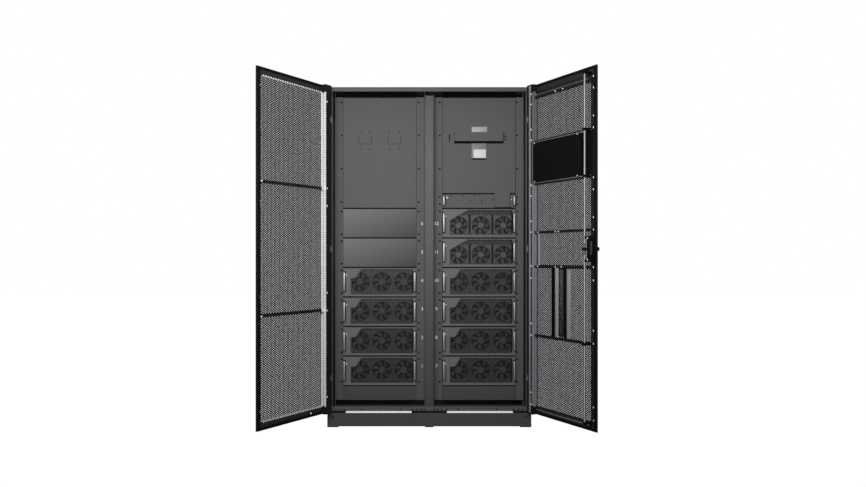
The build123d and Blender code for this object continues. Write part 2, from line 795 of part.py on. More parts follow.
def hinge_brackets(sign):
    """Leaf on the post, arm with a chamfered knuckle, and upright pin of each hinge."""
    brackets = []
    post_x = sign * (half_w - SHEET)
    x = sign * hinge_x
    tip_y = hinge_y - KNUCKLE_R
    side_y = tip_y + KNUCKLE_CHAMFER
    flat = KNUCKLE_R - KNUCKLE_CHAMFER
    arm = [
        (x - KNUCKLE_R, front_y), (x - KNUCKLE_R, side_y), (x - flat, tip_y),
        (x + flat, tip_y), (x + KNUCKLE_R, side_y), (x + KNUCKLE_R, front_y),
    ]
    profile = make_face(Polyline(*arm, close=True))
    for z in hinge_heights:
        top = z + KNUCKLE_H / 2
        leaf = block(post_x, post_x - sign * LEAF_W, front_y, front_y + SHEET, z - LEAF_H / 2, z + LEAF_H / 2)
        bracket = leaf + Pos(0, 0, z - KNUCKLE_H / 2) * extrude(profile, KNUCKLE_H, dir=(0, 0, 1))
        brackets.append(bracket + upright_rod(x, hinge_y, top, top + HINGE_CLEAR + PIN_IN, PIN_R))
    return brackets


# Display, cable channel and lock on the right door

def screen_window(gap):
    """Box through the mesh where the screen shows outside."""
    middle = CAB_H - (DISPLAY_TOP_DOWN + DISPLAY_LOW_DOWN) / 2
    half_u = SCREEN_W / 2 + gap
    half_z = SCREEN_H / 2 + gap
    return SCREEN_U - half_u, SCREEN_U + half_u, middle - half_z, middle + half_z


def display_box():
    """Closed housing between two cross bars, with a fixing plate and a boss that carries the screen."""
    z0 = bar_top(DISPLAY_LOW_DOWN)
    z1 = bar_low(DISPLAY_TOP_DOWN)
    box = door_block(1, HINGE_STILE, HINGE_STILE + DISPLAY_W, LEAF_T, LEAF_T + DISPLAY_D, z0, z1)
    box += door_block(1, HINGE_STILE, window_end(1) + BAR_LAP, LEAF_T, LEAF_T + SHEET, z0, z1)
    boss_u0, boss_u1, boss_z0, boss_z1 = screen_window(0)
    return box + door_block(1, boss_u0, boss_u1, SCREEN_T, LEAF_T, boss_z0, boss_z1)


def display_screen():
    """Glass on the front of the display boss."""
    u0, u1, z0, z1 = screen_window(0)
    return door_block(1, u0, u1, 0, SCREEN_T, z0, z1)


def right_mesh():
    """Right mesh pan, whole in front of the display but for the opening for the screen."""
    fields = mesh_fields(right_bars_down)
    fields.remove((bar_top(DISPLAY_LOW_DOWN), bar_low(DISPLAY_TOP_DOWN)))
    u0, u1, z0, z1 = screen_window(SCREEN_GAP)
    return door_mesh(1, fields) - door_block(1, u0, u1, 0, MESH_IN + 2 * MESH_T, z0, z1)


def cable_channel():
    """Upright channel, open towards the mesh, between two cross bars."""
    z0 = bar_top(CHANNEL_LOW_DOWN)
    z1 = bar_low(CHANNEL_TOP_DOWN)
    u0 = CHANNEL_U - CHANNEL_W / 2
    u1 = CHANNEL_U + CHANNEL_W / 2
    hollow_u0 = u0 + CHANNEL_WALL
    hollow_u1 = u1 - CHANNEL_WALL
    channel = door_block(1, u0, u1, LEAF_T, bar_v1, z0, z1)
    return channel - door_block(1, hollow_u0, hollow_u1, LEAF_T - 1, bar_v1 - CHANNEL_WALL, z0 - 1, z1 + 1)


def hinge_strip():
    """Narrow upright strip near the hinge side, between two cross bars."""
    z0 = bar_top(CHANNEL_TOP_DOWN)
    z1 = bar_low(STRIP_TOP_DOWN)
    return door_block(1, STRIP_U - STRIP_W / 2, STRIP_U + STRIP_W / 2, bar_v1 - SHEET, bar_v1, z0, z1)


def rod_slot(z0, z1):
    """Square passage for a lock rod."""
    return door_block(1, rod_u - rod_eye, rod_u + rod_eye, rod_v - rod_eye, rod_v + rod_eye, z0, z1)


def lock_rod(z0, z1):
    """Round lock rod on the right door."""
    return upright_rod(door_x(1, rod_u), door_face + rod_v, z0, z1, ROD_R)


def lock_case():
    """Lock housing on the free stile, with bores for both rods and the handle shaft."""
    u1 = lock_u + RIGHT_FREE_STILE / 2 - EDGE_GAP
    back = rod_v + ROD_R + LOCK_CASE_BACK
    housing = door_block(1, u1 - LOCK_CASE_W, u1, LEAF_T, back, lock_case_low, lock_case_top)
    depth = rod_in + ROD_END_GAP
    housing -= rod_slot(lock_case_top - depth, lock_case_top + 1)
    housing -= rod_slot(lock_case_low - 1, lock_case_low + depth)
    return housing - shaft(SHAFT_R + SHAFT_FIT, -1, LEAF_T + SHAFT_IN + PIN_END_GAP)


def shaft(radius, v0, v1):
    """Round rod through the door at the lock handle."""
    rod = Rot(90, 0, 0) * Cylinder(radius, v1 - v0)
    return Pos(door_x(1, lock_u), door_face + (v0 + v1) / 2, lock_z) * rod


def lock_handle():
    """Lever outside the door, level when the lock is open, on a shaft through the stile."""
    v0 = -LEVER_GAP - LEVER_T
    x = door_x(1, lock_u)
    tip_x = x + LEVER_LENGTH
    outline = [
        (x, lock_z - LEVER_W / 2), (tip_x, lock_z - LEVER_TIP_W / 2),
        (tip_x, lock_z + LEVER_TIP_W / 2), (x, lock_z + LEVER_W / 2),
    ]
    lever = plate_from_outline(outline, door_face + v0, door_face - LEVER_GAP)
    lever += shaft(LEVER_W / 2, v0, -LEVER_GAP)
    return lever + shaft(SHAFT_R, v0, LEAF_T + SHAFT_IN)


def rod_guides():
    """Guide blocks that hold the lock rods on the rails and cross bars."""
    reach = rod_v + ROD_R + LOCK_CASE_BACK
    half = GUIDE_W / 2
    spans = [
        (LEAF_T, window_z1 + 1, window_z1 + 1 + GUIDE_H),
        (LEAF_T, window_z0 - GUIDE_H + LOCK_CLEAR, window_z0 + LOCK_CLEAR),
    ]
    for down in (DISPLAY_TOP_DOWN, DISPLAY_LOW_DOWN, CHANNEL_LOW_DOWN):
        spans.append((bar_v1, bar_low(down), bar_top(down)))
    guides = []
    for v0, z0, z1 in spans:
        guide = door_block(1, rod_u - half, rod_u + half, v0, reach, z0, z1)
        guides.append(guide - rod_slot(z0 - 1, z1 + 1))
    return guides


os.makedirs("parts", exist_ok=True)

save("plinth_front", plinth_front())
save("plinth_rear", plinth_end(1))
save("plinth_left", plinth_side(-1))
save("plinth_right", plinth_side(1))
save("plinth_feet", *plinth_feet())
save("base_spacers", *base_spacers())
save("base_floor", block(-half_w, half_w, front_y, back_y, floor_z, floor_top))
save("base_lips", *cross_lips(floor_top, base_lip_top))
save("roof_panel", roof_panel())
save("cable_plates", cable_plate(-1), cable_plate(1))
save("roof_lips", *cross_lips(top_lip_low, roof_under))
save("corner_posts", *corner_posts())
save("side_panel_left", side_panel(-1))
save("side_panel_right", side_panel(1))
save("rear_panel_left", rear_panel(-1))
save("rear_panel_right", rear_panel(1))
save("rear_mesh", rear_mesh(-1), rear_mesh(1))
save("centre_post", centre_post())
save("rack_rails", *bay_rails(-1), *bay_rails(1))
save("bottom_plates", panel(-1, rack_bottom, slots_bottom), panel(1, rack_bottom, slots_bottom))
save("blank_panels", panel(-1, slot_top(4), slot_top(5)), panel(-1, slot_top(5), slot_top(6)))
save("upper_panel", upper_panel())
save("bypass_panel", bypass_panel())
save("switch_guard", switch_guard())
save("switch_plate", switch_plate())
save(
    "control_plates",
    panel(1, slots_top, control_top, 0, CONTROL_PLATE_W),
    panel(1, slots_top, control_top, PANEL_W - CONTROL_END_W, PANEL_W),
)
save("control_button", control_button())
save("control_handles", *control_handles())

left_modules = [(-1, slot, MID_FAN_MODULE) for slot in MODULES_LEFT]
right_modules = [(1, slot, MID_FAN_MODULE) for slot in MODULES_RIGHT]
right_modules += [(1, slot, LOW_FAN_MODULE) for slot in MODULES_RIGHT_LOW_FAN]
all_modules = left_modules + right_modules
rotors = {kind: fan_rotor(kind) for kind in (MID_FAN_MODULE, LOW_FAN_MODULE)}
for bay, modules in (("left", left_modules), ("right", right_modules)):
    handles = [module_handles(sign, slot) for sign, slot, kind in modules]
    save(f"module_fronts_{bay}", *[module_front(*module) for module in modules])
    save(f"module_grilles_{bay}", *[module_grille(*module) for module in modules])
    save(f"module_handles_{bay}", *sum(handles, []))
module_fans = [module_rotors(sign, slot, kind, rotors[kind]) for sign, slot, kind in all_modules]
save("fan_trays", *[fan_tray(*module) for module in all_modules])
save("fan_rotors", *sum(module_fans, []))
save("module_cases", *[module_case(sign, slot) for sign, slot, kind in all_modules])

save("hinge_brackets", *hinge_brackets(-1), *hinge_brackets(1))
save("left_door_bars", *[swing(-1, bar) for bar in door_bars(-1, LEFT_BARS_DOWN)])
save("right_door_bars", *[swing(1, bar) for bar in door_bars(1, right_bars_down)])
save("left_door_frame", swing(-1, door_frame(-1)))
save("left_door_mesh", swing(-1, door_mesh(-1, mesh_fields(LEFT_BARS_DOWN))))
save("right_door_frame", swing(1, door_frame(1) - shaft(SHAFT_R + SHAFT_FIT, -1, LEAF_T + 1)))
save("right_door_mesh", swing(1, right_mesh()))
save("display_box", swing(1, display_box()))
save("display_screen", swing(1, display_screen()))
save("cable_channel", swing(1, cable_channel()))
save("hinge_strip", swing(1, hinge_strip()))
save("lock_case", swing(1, lock_case()))
save("rod_guides", *[swing(1, guide) for guide in rod_guides()])
save("lock_handle", swing(1, lock_handle()))
save("upper_lock_rod", swing(1, lock_rod(lock_case_top - rod_in, top_lip_low - LOCK_CLEAR)))
save("lower_lock_rod", swing(1, lock_rod(base_lip_top + LOCK_CLEAR, lock_case_low + rod_in)))
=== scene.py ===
"""Looks of a two-bay modular power cabinet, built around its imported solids. Metres, doors on the -Y side."""

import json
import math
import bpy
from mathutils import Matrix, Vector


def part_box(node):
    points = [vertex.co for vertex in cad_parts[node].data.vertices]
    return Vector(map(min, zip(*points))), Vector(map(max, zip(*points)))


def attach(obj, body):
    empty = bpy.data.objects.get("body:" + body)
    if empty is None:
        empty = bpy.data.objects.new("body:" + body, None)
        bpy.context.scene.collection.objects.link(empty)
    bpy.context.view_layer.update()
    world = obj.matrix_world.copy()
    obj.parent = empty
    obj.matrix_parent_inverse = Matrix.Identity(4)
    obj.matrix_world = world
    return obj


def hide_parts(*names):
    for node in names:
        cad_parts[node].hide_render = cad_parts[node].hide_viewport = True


bl_info = {
    "name": "Modular power cabinet",
    "version": (1, 0, 0),
    "blender": (4, 5, 0),
    "location": "3D View > Sidebar > Cabinet",
    "description": "Perforation, fans, fasteners, finishes and stage of a modular power cabinet",
    "category": "Object",
}

import bmesh
import bpy
from bpy.props import FloatProperty, FloatVectorProperty, IntProperty, PointerProperty
from mathutils import Matrix, Vector

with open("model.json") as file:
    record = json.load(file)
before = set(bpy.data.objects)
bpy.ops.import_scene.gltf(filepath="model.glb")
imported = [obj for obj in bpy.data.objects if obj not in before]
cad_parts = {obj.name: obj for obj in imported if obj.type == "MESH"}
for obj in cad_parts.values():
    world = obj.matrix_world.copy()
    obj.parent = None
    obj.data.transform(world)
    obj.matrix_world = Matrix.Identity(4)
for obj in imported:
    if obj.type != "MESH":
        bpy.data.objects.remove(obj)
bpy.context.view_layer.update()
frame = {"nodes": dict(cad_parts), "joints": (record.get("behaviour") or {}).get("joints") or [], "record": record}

AXIS_X = Vector((1, 0, 0))
AXIS_Z = Vector((0, 0, 1))
MM = 0.001
SMOOTH_ANGLE = math.radians(35)

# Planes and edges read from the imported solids
RACK_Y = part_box("upper_panel")[0].y
PANEL_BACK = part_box("upper_panel")[1].y
RACK_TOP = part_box("upper_panel")[1].z
TRAY_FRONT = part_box("fan_trays")[0].y
TRAY_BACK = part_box("fan_trays")[1].y
BAY_LEFT = {"left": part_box("upper_panel")[0].x, "right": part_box("bypass_panel")[0].x}
PANEL_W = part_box("upper_panel")[1].x - BAY_LEFT["left"]
SLOTS = 6
SLOTS_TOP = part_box("upper_panel")[0].z
SLOTS_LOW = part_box("module_fronts_left")[0].z
SLOT_PITCH = (SLOTS_TOP - SLOTS_LOW) / SLOTS
CONTROL_H = 88.9 * MM
CONTROL_TOP = SLOTS_TOP + CONTROL_H
FRONT_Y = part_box("roof_panel")[0].y
BACK_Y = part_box("roof_panel")[1].y
HALF_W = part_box("roof_panel")[1].x
CAB_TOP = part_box("roof_panel")[1].z

# Doors, as they are when shut: u across from the hinge edge, v in from the outer face
DOOR_T = 38 * MM
LEAF_T = 10 * MM
PIVOT_IN = 9 * MM
DOOR_W = 594 * MM
DOOR_LOW = 90 * MM
HINGE_STILE = 63 * MM
FREE_STILE = {"left": 25 * MM, "right": 40 * MM}
DOOR_RAIL = 47 * MM
PAN_V = 3 * MM
PAN_RIM = 9 * MM
BAR_V = 24 * MM
BAR_HALF = 7 * MM
SPLIT_Z = {"left": 692 * MM, "right": 947 * MM}
WINDOW_LOW = DOOR_LOW + DOOR_RAIL
WINDOW_TOP = CAB_TOP - DOOR_RAIL

# Module faces: sizes from the left edge and down from the upper edge of a slot
HANDLE_PLACES = (8.5 * MM, PANEL_W - 8.5 * MM)
HANDLE_HEIGHT = {"module": 113 * MM, "control": 52 * MM}
NOTCH_DEEP = 4 * MM
SLOT_KINDS = {"left": {1: "mid", 2: "mid", 3: "mid", 4: "mid"},
              "right": {1: "mid", 2: "mid", 3: "mid", 4: "mid", 5: "low", 6: "low"}}


class ModuleFace:
    """Grille opening and fan places of one kind of module, in metres."""

    def __init__(self, left, right, top, bottom, cut, fans, fan_down, fan_r, hub_r):
        self.left = left * MM
        self.right = right * MM
        self.top = top * MM
        self.bottom = bottom * MM
        self.cut = [(u * MM, down * MM) for u, down in cut]
        self.fans = [u * MM for u in fans]
        self.fan_down = fan_down * MM
        self.fan_r = fan_r * MM
        self.hub_r = hub_r * MM

    def outline(self):
        """Corners of the opening, from its upper right corner on."""
        corners = [(self.right, self.top), (self.right, self.bottom), (self.left, self.bottom)]
        return corners + self.cut


MODULE_FACES = {
    "mid": ModuleFace(45, 421, 11.4, 165, [(45, 63.8), (74.7, 63.8), (106, 11.4)],
                      (99, 233, 367), 90, 54, 20),
    "low": ModuleFace(44, 423, 10, 162, [(44, 72), (152, 10)], (98, 233.5, 369), 104, 51, 18),
}


# Settings a user would change

class PerforationSettings(bpy.types.PropertyGroup):
    """Hole patterns of the doors, the rear covers and the module grilles."""

    door_pitch: FloatProperty(
        name="Door pitch", description="Distance between holes of the door sheets",
        default=12 * MM, unit="LENGTH")
    door_hole: FloatProperty(
        name="Door hole", description="Width of a hole across its flats", default=5.4 * MM, unit="LENGTH")
    rear_pitch: FloatProperty(
        name="Rear pitch", description="Distance between holes of the rear covers",
        default=20 * MM, unit="LENGTH")
    rear_hole: FloatProperty(
        name="Rear hole", description="Width of a hole across its flats", default=13 * MM, unit="LENGTH")
    grille_pitch: FloatProperty(
        name="Grille pitch", description="Distance between holes of the module grilles",
        default=13.6 * MM, unit="LENGTH")
    grille_hole: FloatProperty(
        name="Grille hole", description="Width of a hole across its flats", default=11.2 * MM, unit="LENGTH")
    strip_pitch: FloatProperty(
        name="Strip pitch", description="Distance between holes in the strips of the hinge stiles",
        default=14 * MM, unit="LENGTH")
    strip_hole: FloatProperty(
        name="Strip hole", description="Width of a hole in the strips of the hinge stiles",
        default=5.6 * MM, unit="LENGTH")
    sheet: FloatProperty(
        name="Sheet", description="Thickness of the perforated sheets", default=1.5 * MM, unit="LENGTH")


class FanSettings(bpy.types.PropertyGroup):
    """Shape of the fan rotors."""

    blades: IntProperty(name="Blades", description="Blades on a rotor", default=7, min=3)
    span: FloatProperty(
        name="Blade span", description="Angle that one blade covers", default=math.radians(24),
        subtype="ANGLE")
    sweep: FloatProperty(
        name="Blade sweep", description="Turn from root to tip", default=math.radians(13), subtype="ANGLE")
    rise: FloatProperty(
        name="Blade rise", description="Depth from the leading to the trailing edge",
        default=10 * MM, unit="LENGTH")
    thickness: FloatProperty(
        name="Blade thickness", description="Thickness of a blade", default=1.6 * MM, unit="LENGTH")


class FastenerSettings(bpy.types.PropertyGroup):
    """Sizes of screws, lamps and numbers."""

    rack_screw: FloatProperty(
        name="Rack screw", description="Head radius of the screws in the rack rails",
        default=5.6 * MM, unit="LENGTH")
    door_screw: FloatProperty(
        name="Door screw", description="Head radius of the screws in the doors",
        default=5.4 * MM, unit="LENGTH")
    small_screw: FloatProperty(
        name="Small screw", description="Head radius of the smallest screws", default=3.5 * MM, unit="LENGTH")
    lamp: FloatProperty(
        name="Lamp", description="Radius of the module lamps", default=4.6 * MM, unit="LENGTH")
    number_size: FloatProperty(
        name="Number size", description="Font size of the slot numbers", default=27 * MM, unit="LENGTH")


class FinishSettings(bpy.types.PropertyGroup):
    """Colours of the finishes."""

    frame_grey: FloatVectorProperty(
        name="Frame grey", description="Powder coat of shell and plinth", subtype="COLOR",
        default=(0.078, 0.079, 0.082))
    panel_grey: FloatVectorProperty(
        name="Panel grey", description="Satin coat of rails and panels", subtype="COLOR",
        default=(0.118, 0.118, 0.120))
    bezel_grey: FloatVectorProperty(
        name="Bezel grey", description="Satin coat of the module bezels", subtype="COLOR",
        default=(0.172, 0.172, 0.174))
    door_black: FloatVectorProperty(
        name="Door black", description="Powder coat of the doors", subtype="COLOR",
        default=(0.013, 0.013, 0.0135))
    zinc: FloatVectorProperty(
        name="Zinc", description="Galvanised sheet", subtype="COLOR", default=(0.52, 0.52, 0.55))
    handle_grey: FloatVectorProperty(
        name="Handle grey", description="Anodised pull handles", subtype="COLOR", default=(0.46, 0.46, 0.48))
    steel: FloatVectorProperty(
        name="Steel", description="Bright rods and screws", subtype="COLOR", default=(0.62, 0.62, 0.64))
    lamp_green: FloatVectorProperty(
        name="Lamp green", description="Module lamps", subtype="COLOR", default=(0.36, 0.66, 0.38))
    button_red: FloatVectorProperty(
        name="Button red", description="Push button", subtype="COLOR", default=(0.92, 0.44, 0.41))


class StageSettings(bpy.types.PropertyGroup):
    """Camera and light."""

    camera_distance: FloatProperty(
        name="Camera distance", description="From the cabinet's middle to the camera",
        default=4.98, unit="LENGTH")
    camera_height: FloatProperty(
        name="Camera height", description="Camera above the floor", default=1.0015, unit="LENGTH")
    lens: FloatProperty(name="Lens", description="Focal length in millimetres", default=32.2)
    sky: FloatProperty(name="Sky", description="Brightness overhead", default=0.36)
    horizon: FloatProperty(name="Horizon", description="Brightness at the horizon", default=0.15)
    key_power: FloatProperty(name="Key power", description="Large soft light", default=37.0, subtype="POWER")


SETTINGS = {
    "cabinet_perforation": PerforationSettings,
    "cabinet_fans": FanSettings,
    "cabinet_fasteners": FastenerSettings,
    "cabinet_finishes": FinishSettings,
    "cabinet_stage": StageSettings,
}


# Places

def face_matrix(origin, across, up):
    """From a face's own plane (x across, y up, z out of the face) to the cabinet's frame."""
    matrix = Matrix((across, up, across.cross(up))).transposed().to_4x4()
    matrix.translation = origin
    return matrix


def front_face(y):
    """Upright plane at depth y that looks to the doors' side."""
    return face_matrix(Vector((0, y, 0)), AXIS_X, AXIS_Z)


def back_face(y):
    """Upright plane at depth y that looks to the rear."""
    return face_matrix(Vector((0, y, 0)), -AXIS_X, AXIS_Z)


RACK_FACE = front_face(RACK_Y)


class Door:
    """One door: its place when shut and the turn that opens it to its rest position."""

    def __init__(self, side, sign):
        joint = next(row for row in frame["joints"] if row["name"] == f"{side}_door_hinge")
        self.side = side
        self.sign = sign
        self.body = f"{side}_door"
        hinge = Vector(joint["pos_m"])
        angle = math.radians(max(joint["range_deg"]))
        self.edge_x = abs(hinge.x) + PIVOT_IN
        self.outer_y = hinge.y - DOOR_T / 2
        turn = Matrix.Rotation(sign * angle, 4, "Z")
        self.opened = Matrix.Translation(hinge) @ turn @ Matrix.Translation(-hinge)

    def at(self, u, v, z):
        """Point on the shut door."""
        return Vector((self.sign * (self.edge_x - u), self.outer_y + v, z))

    def face(self, v, inward):
        """Plane of the shut door at depth v, looking into the cabinet or out of it."""
        across = -AXIS_X if inward else AXIS_X
        return face_matrix(self.at(0, v, 0), across, AXIS_Z)

    def box(self, shape, u0, u1, v0, v1, z0, z1, bevel=0.0):
        """Box on the shut door."""
        shape.box(self.at(u0, v0, z0), self.at(u1, v1, z1), bevel)

    def place(self, name, shape, slot, finish_name, replaces=()):
        """Piece on this door, of a shape made on the shut one."""
        place(name, shape.mesh(name, self.opened), finish_name, replaces, self.body)


DOORS = {"left": Door("left", -1), "right": Door("right", 1)}


def slot_point(bay, slot, u, down):
    """Place of a point on a module's face, in the rack plane: x, height."""
    return BAY_LEFT[bay] + u, SLOTS_LOW + slot * SLOT_PITCH - down


def on_rack(x, z):
    """Point in the rack plane."""
    return Vector((x, RACK_Y, z))


def rectangle(x0, x1, y0, y1):
    """Corners of a rectangle, all the way round from its first one."""
    return [(x0, y0), (x1, y0), (x1, y1), (x0, y1)]


def module_list():
    """Every module as bay, slot and face layout."""
    return [(bay, slot, MODULE_FACES[kind]) for bay in SLOT_KINDS for slot, kind in SLOT_KINDS[bay].items()]


# Mesh making

class Shape:
    """Collects closed solids in one mesh."""

    def __init__(self):
        self.bm = bmesh.new()

    def box(self, low, high, bevel=0.0):
        """Box between two corners, with rounded edges if a bevel is given."""
        size = [abs(b - a) for a, b in zip(low, high)]
        middle = (Vector(low) + Vector(high)) / 2
        made = bmesh.ops.create_cube(self.bm, size=1, matrix=Matrix.LocRotScale(middle, None, Vector(size)))
        self.soften(made["verts"], bevel)

    def prism(self, outline, low, high, bevel=0.0):
        """Outline in the XY plane, pulled up from low to high."""
        floor = [self.bm.verts.new((x, y, low)) for x, y in outline]
        roof = [self.bm.verts.new((x, y, high)) for x, y in outline]
        self.bm.faces.new(list(reversed(floor)))
        self.bm.faces.new(roof)
        for here, vert in enumerate(floor):
            there = (here + 1) % len(floor)
            self.bm.faces.new((vert, floor[there], roof[there], roof[here]))
        self.soften(floor + roof, bevel)

    def soften(self, verts, bevel):
        """Round all edges between the given corners."""
        if bevel <= 0:
            return
        edges = list({edge for vert in verts for edge in vert.link_edges})
        bmesh.ops.bevel(self.bm, geom=edges, offset=bevel, segments=2, profile=0.5, affect="EDGES")

    def lathe(self, profile, steps):
        """Closed turned piece on the Z axis: profile as radius and height, from the axis out and back."""
        rings = []
        for radius, height in profile:
            if radius == 0:
                rings.append([self.bm.verts.new((0, 0, height))])
                continue
            turns = [2 * math.pi * step / steps for step in range(steps)]
            spots = [(radius * math.cos(turn), radius * math.sin(turn)) for turn in turns]
            rings.append([self.bm.verts.new((x, y, height)) for x, y in spots])
        for inner, outer in zip(rings, rings[1:]):
            for step in range(steps):
                after = (step + 1) % steps
                corners = [inner[step % len(inner)], outer[step % len(outer)],
                           outer[after % len(outer)], inner[after % len(inner)]]
                self.bm.faces.new(list(dict.fromkeys(corners)))

    def mesh(self, name, matrix=None):
        """Finished mesh with outward faces."""
        bmesh.ops.recalc_face_normals(self.bm, faces=self.bm.faces)
        mesh = bpy.data.meshes.new(name)
        self.bm.to_mesh(mesh)
        self.bm.free()
        if matrix:
            mesh.transform(matrix)
        return mesh


def place(name, made, finish_name, replaces=(), body="cabinet"):
    """Make a piece of a shape or a mesh, give it its finish and let it ride on a body."""
    mesh = made.mesh(name) if isinstance(made, Shape) else made
    mesh.name = name
    mesh.materials.clear()
    mesh.materials.append(FINISHES[finish_name])
    mesh.polygons.foreach_set("use_smooth", [True] * len(mesh.polygons))
    mesh.set_sharp_from_angle(angle=SMOOTH_ANGLE)
    piece = bpy.data.objects.new(name, mesh)
    bpy.context.scene.collection.objects.link(piece)
    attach(piece, body)
    if replaces:
        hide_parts(*replaces)


def join_meshes(name, meshes):
    """One mesh of several."""
    shape = bmesh.new()
    for mesh in meshes:
        shape.from_mesh(mesh)
        bpy.data.meshes.remove(mesh)
    joined = bpy.data.meshes.new(name)
    shape.to_mesh(joined)
    shape.free()
    return joined


# Geometry node trees

SHEET_WELD = 0.01 * MM
TILE_WELD = 0.1 * MM


def add_node(tree, kind, links=None, **options):
    """Node with its options set and its inputs linked or filled in."""
    node = tree.nodes.new(kind)
    for name, value in options.items():
        setattr(node, name, value)
    for key, value in (links or {}).items():
        if isinstance(value, bpy.types.NodeSocket):
            tree.links.new(value, node.inputs[key])
        else:
            node.inputs[key].default_value = value
    return node


def result(tree, kind, links=None, **options):
    """First output of a new node."""
    return add_node(tree, kind, links, **options).outputs[0]


def calc(tree, operation, first, second=0.0):
    """Result of a math node."""
    return result(tree, "ShaderNodeMath", {0: first, 1: second}, operation=operation)


def vector_calc(tree, operation, first, second=(0, 0, 0)):
    """Result of a vector math node."""
    return result(tree, "ShaderNodeVectorMath", {0: first, 1: second}, operation=operation)


def both(tree, operation, first, second):
    """Result of a boolean node."""
    return result(tree, "FunctionNodeBooleanMath", {0: first, 1: second}, operation=operation)


def combine(tree, x, y, z):
    """Vector of three numbers."""
    return result(tree, "ShaderNodeCombineXYZ", {0: x, 1: y, 2: z})


def join(tree, *parts):
    """Joined geometry."""
    node = tree.nodes.new("GeometryNodeJoinGeometry")
    for part in reversed(parts):
        tree.links.new(part, node.inputs[0])
    return node.outputs[0]


def new_tree(name, inputs):
    """Geometry node tree with a geometry in and out and named inputs."""
    tree = bpy.data.node_groups.new(name, "GeometryNodeTree")
    tree.interface.new_socket("Geometry", in_out="INPUT", socket_type="NodeSocketGeometry")
    for label, kind in inputs:
        tree.interface.new_socket(label, in_out="INPUT", socket_type=f"NodeSocket{kind}")
    tree.interface.new_socket("Geometry", in_out="OUTPUT", socket_type="NodeSocketGeometry")
    given = tree.nodes.new("NodeGroupInput").outputs
    return tree, given


def end_tree(tree, given, geometry):
    """Close a tree with Realize Instances and Set Material."""
    real = result(tree, "GeometryNodeRealizeInstances", {0: geometry})
    links = {"Geometry": real, "Material": given["Material"]}
    painted = result(tree, "GeometryNodeSetMaterial", links)
    tree.links.new(painted, tree.nodes.new("NodeGroupOutput").inputs[0])
    return tree


def thicken(tree, flat, thickness):
    """Closed sheet of a flat or bowed one, grown along its normals."""
    links = {"Mesh": flat, "Offset Scale": thickness, "Individual": False}
    grown = add_node(tree, "GeometryNodeExtrudeMesh", links, mode="FACES").outputs["Mesh"]
    under = result(tree, "GeometryNodeFlipFaces", {"Mesh": flat})
    closed = join(tree, grown, under)
    return result(tree, "GeometryNodeMergeByDistance", {"Geometry": closed, "Distance": SHEET_WELD})


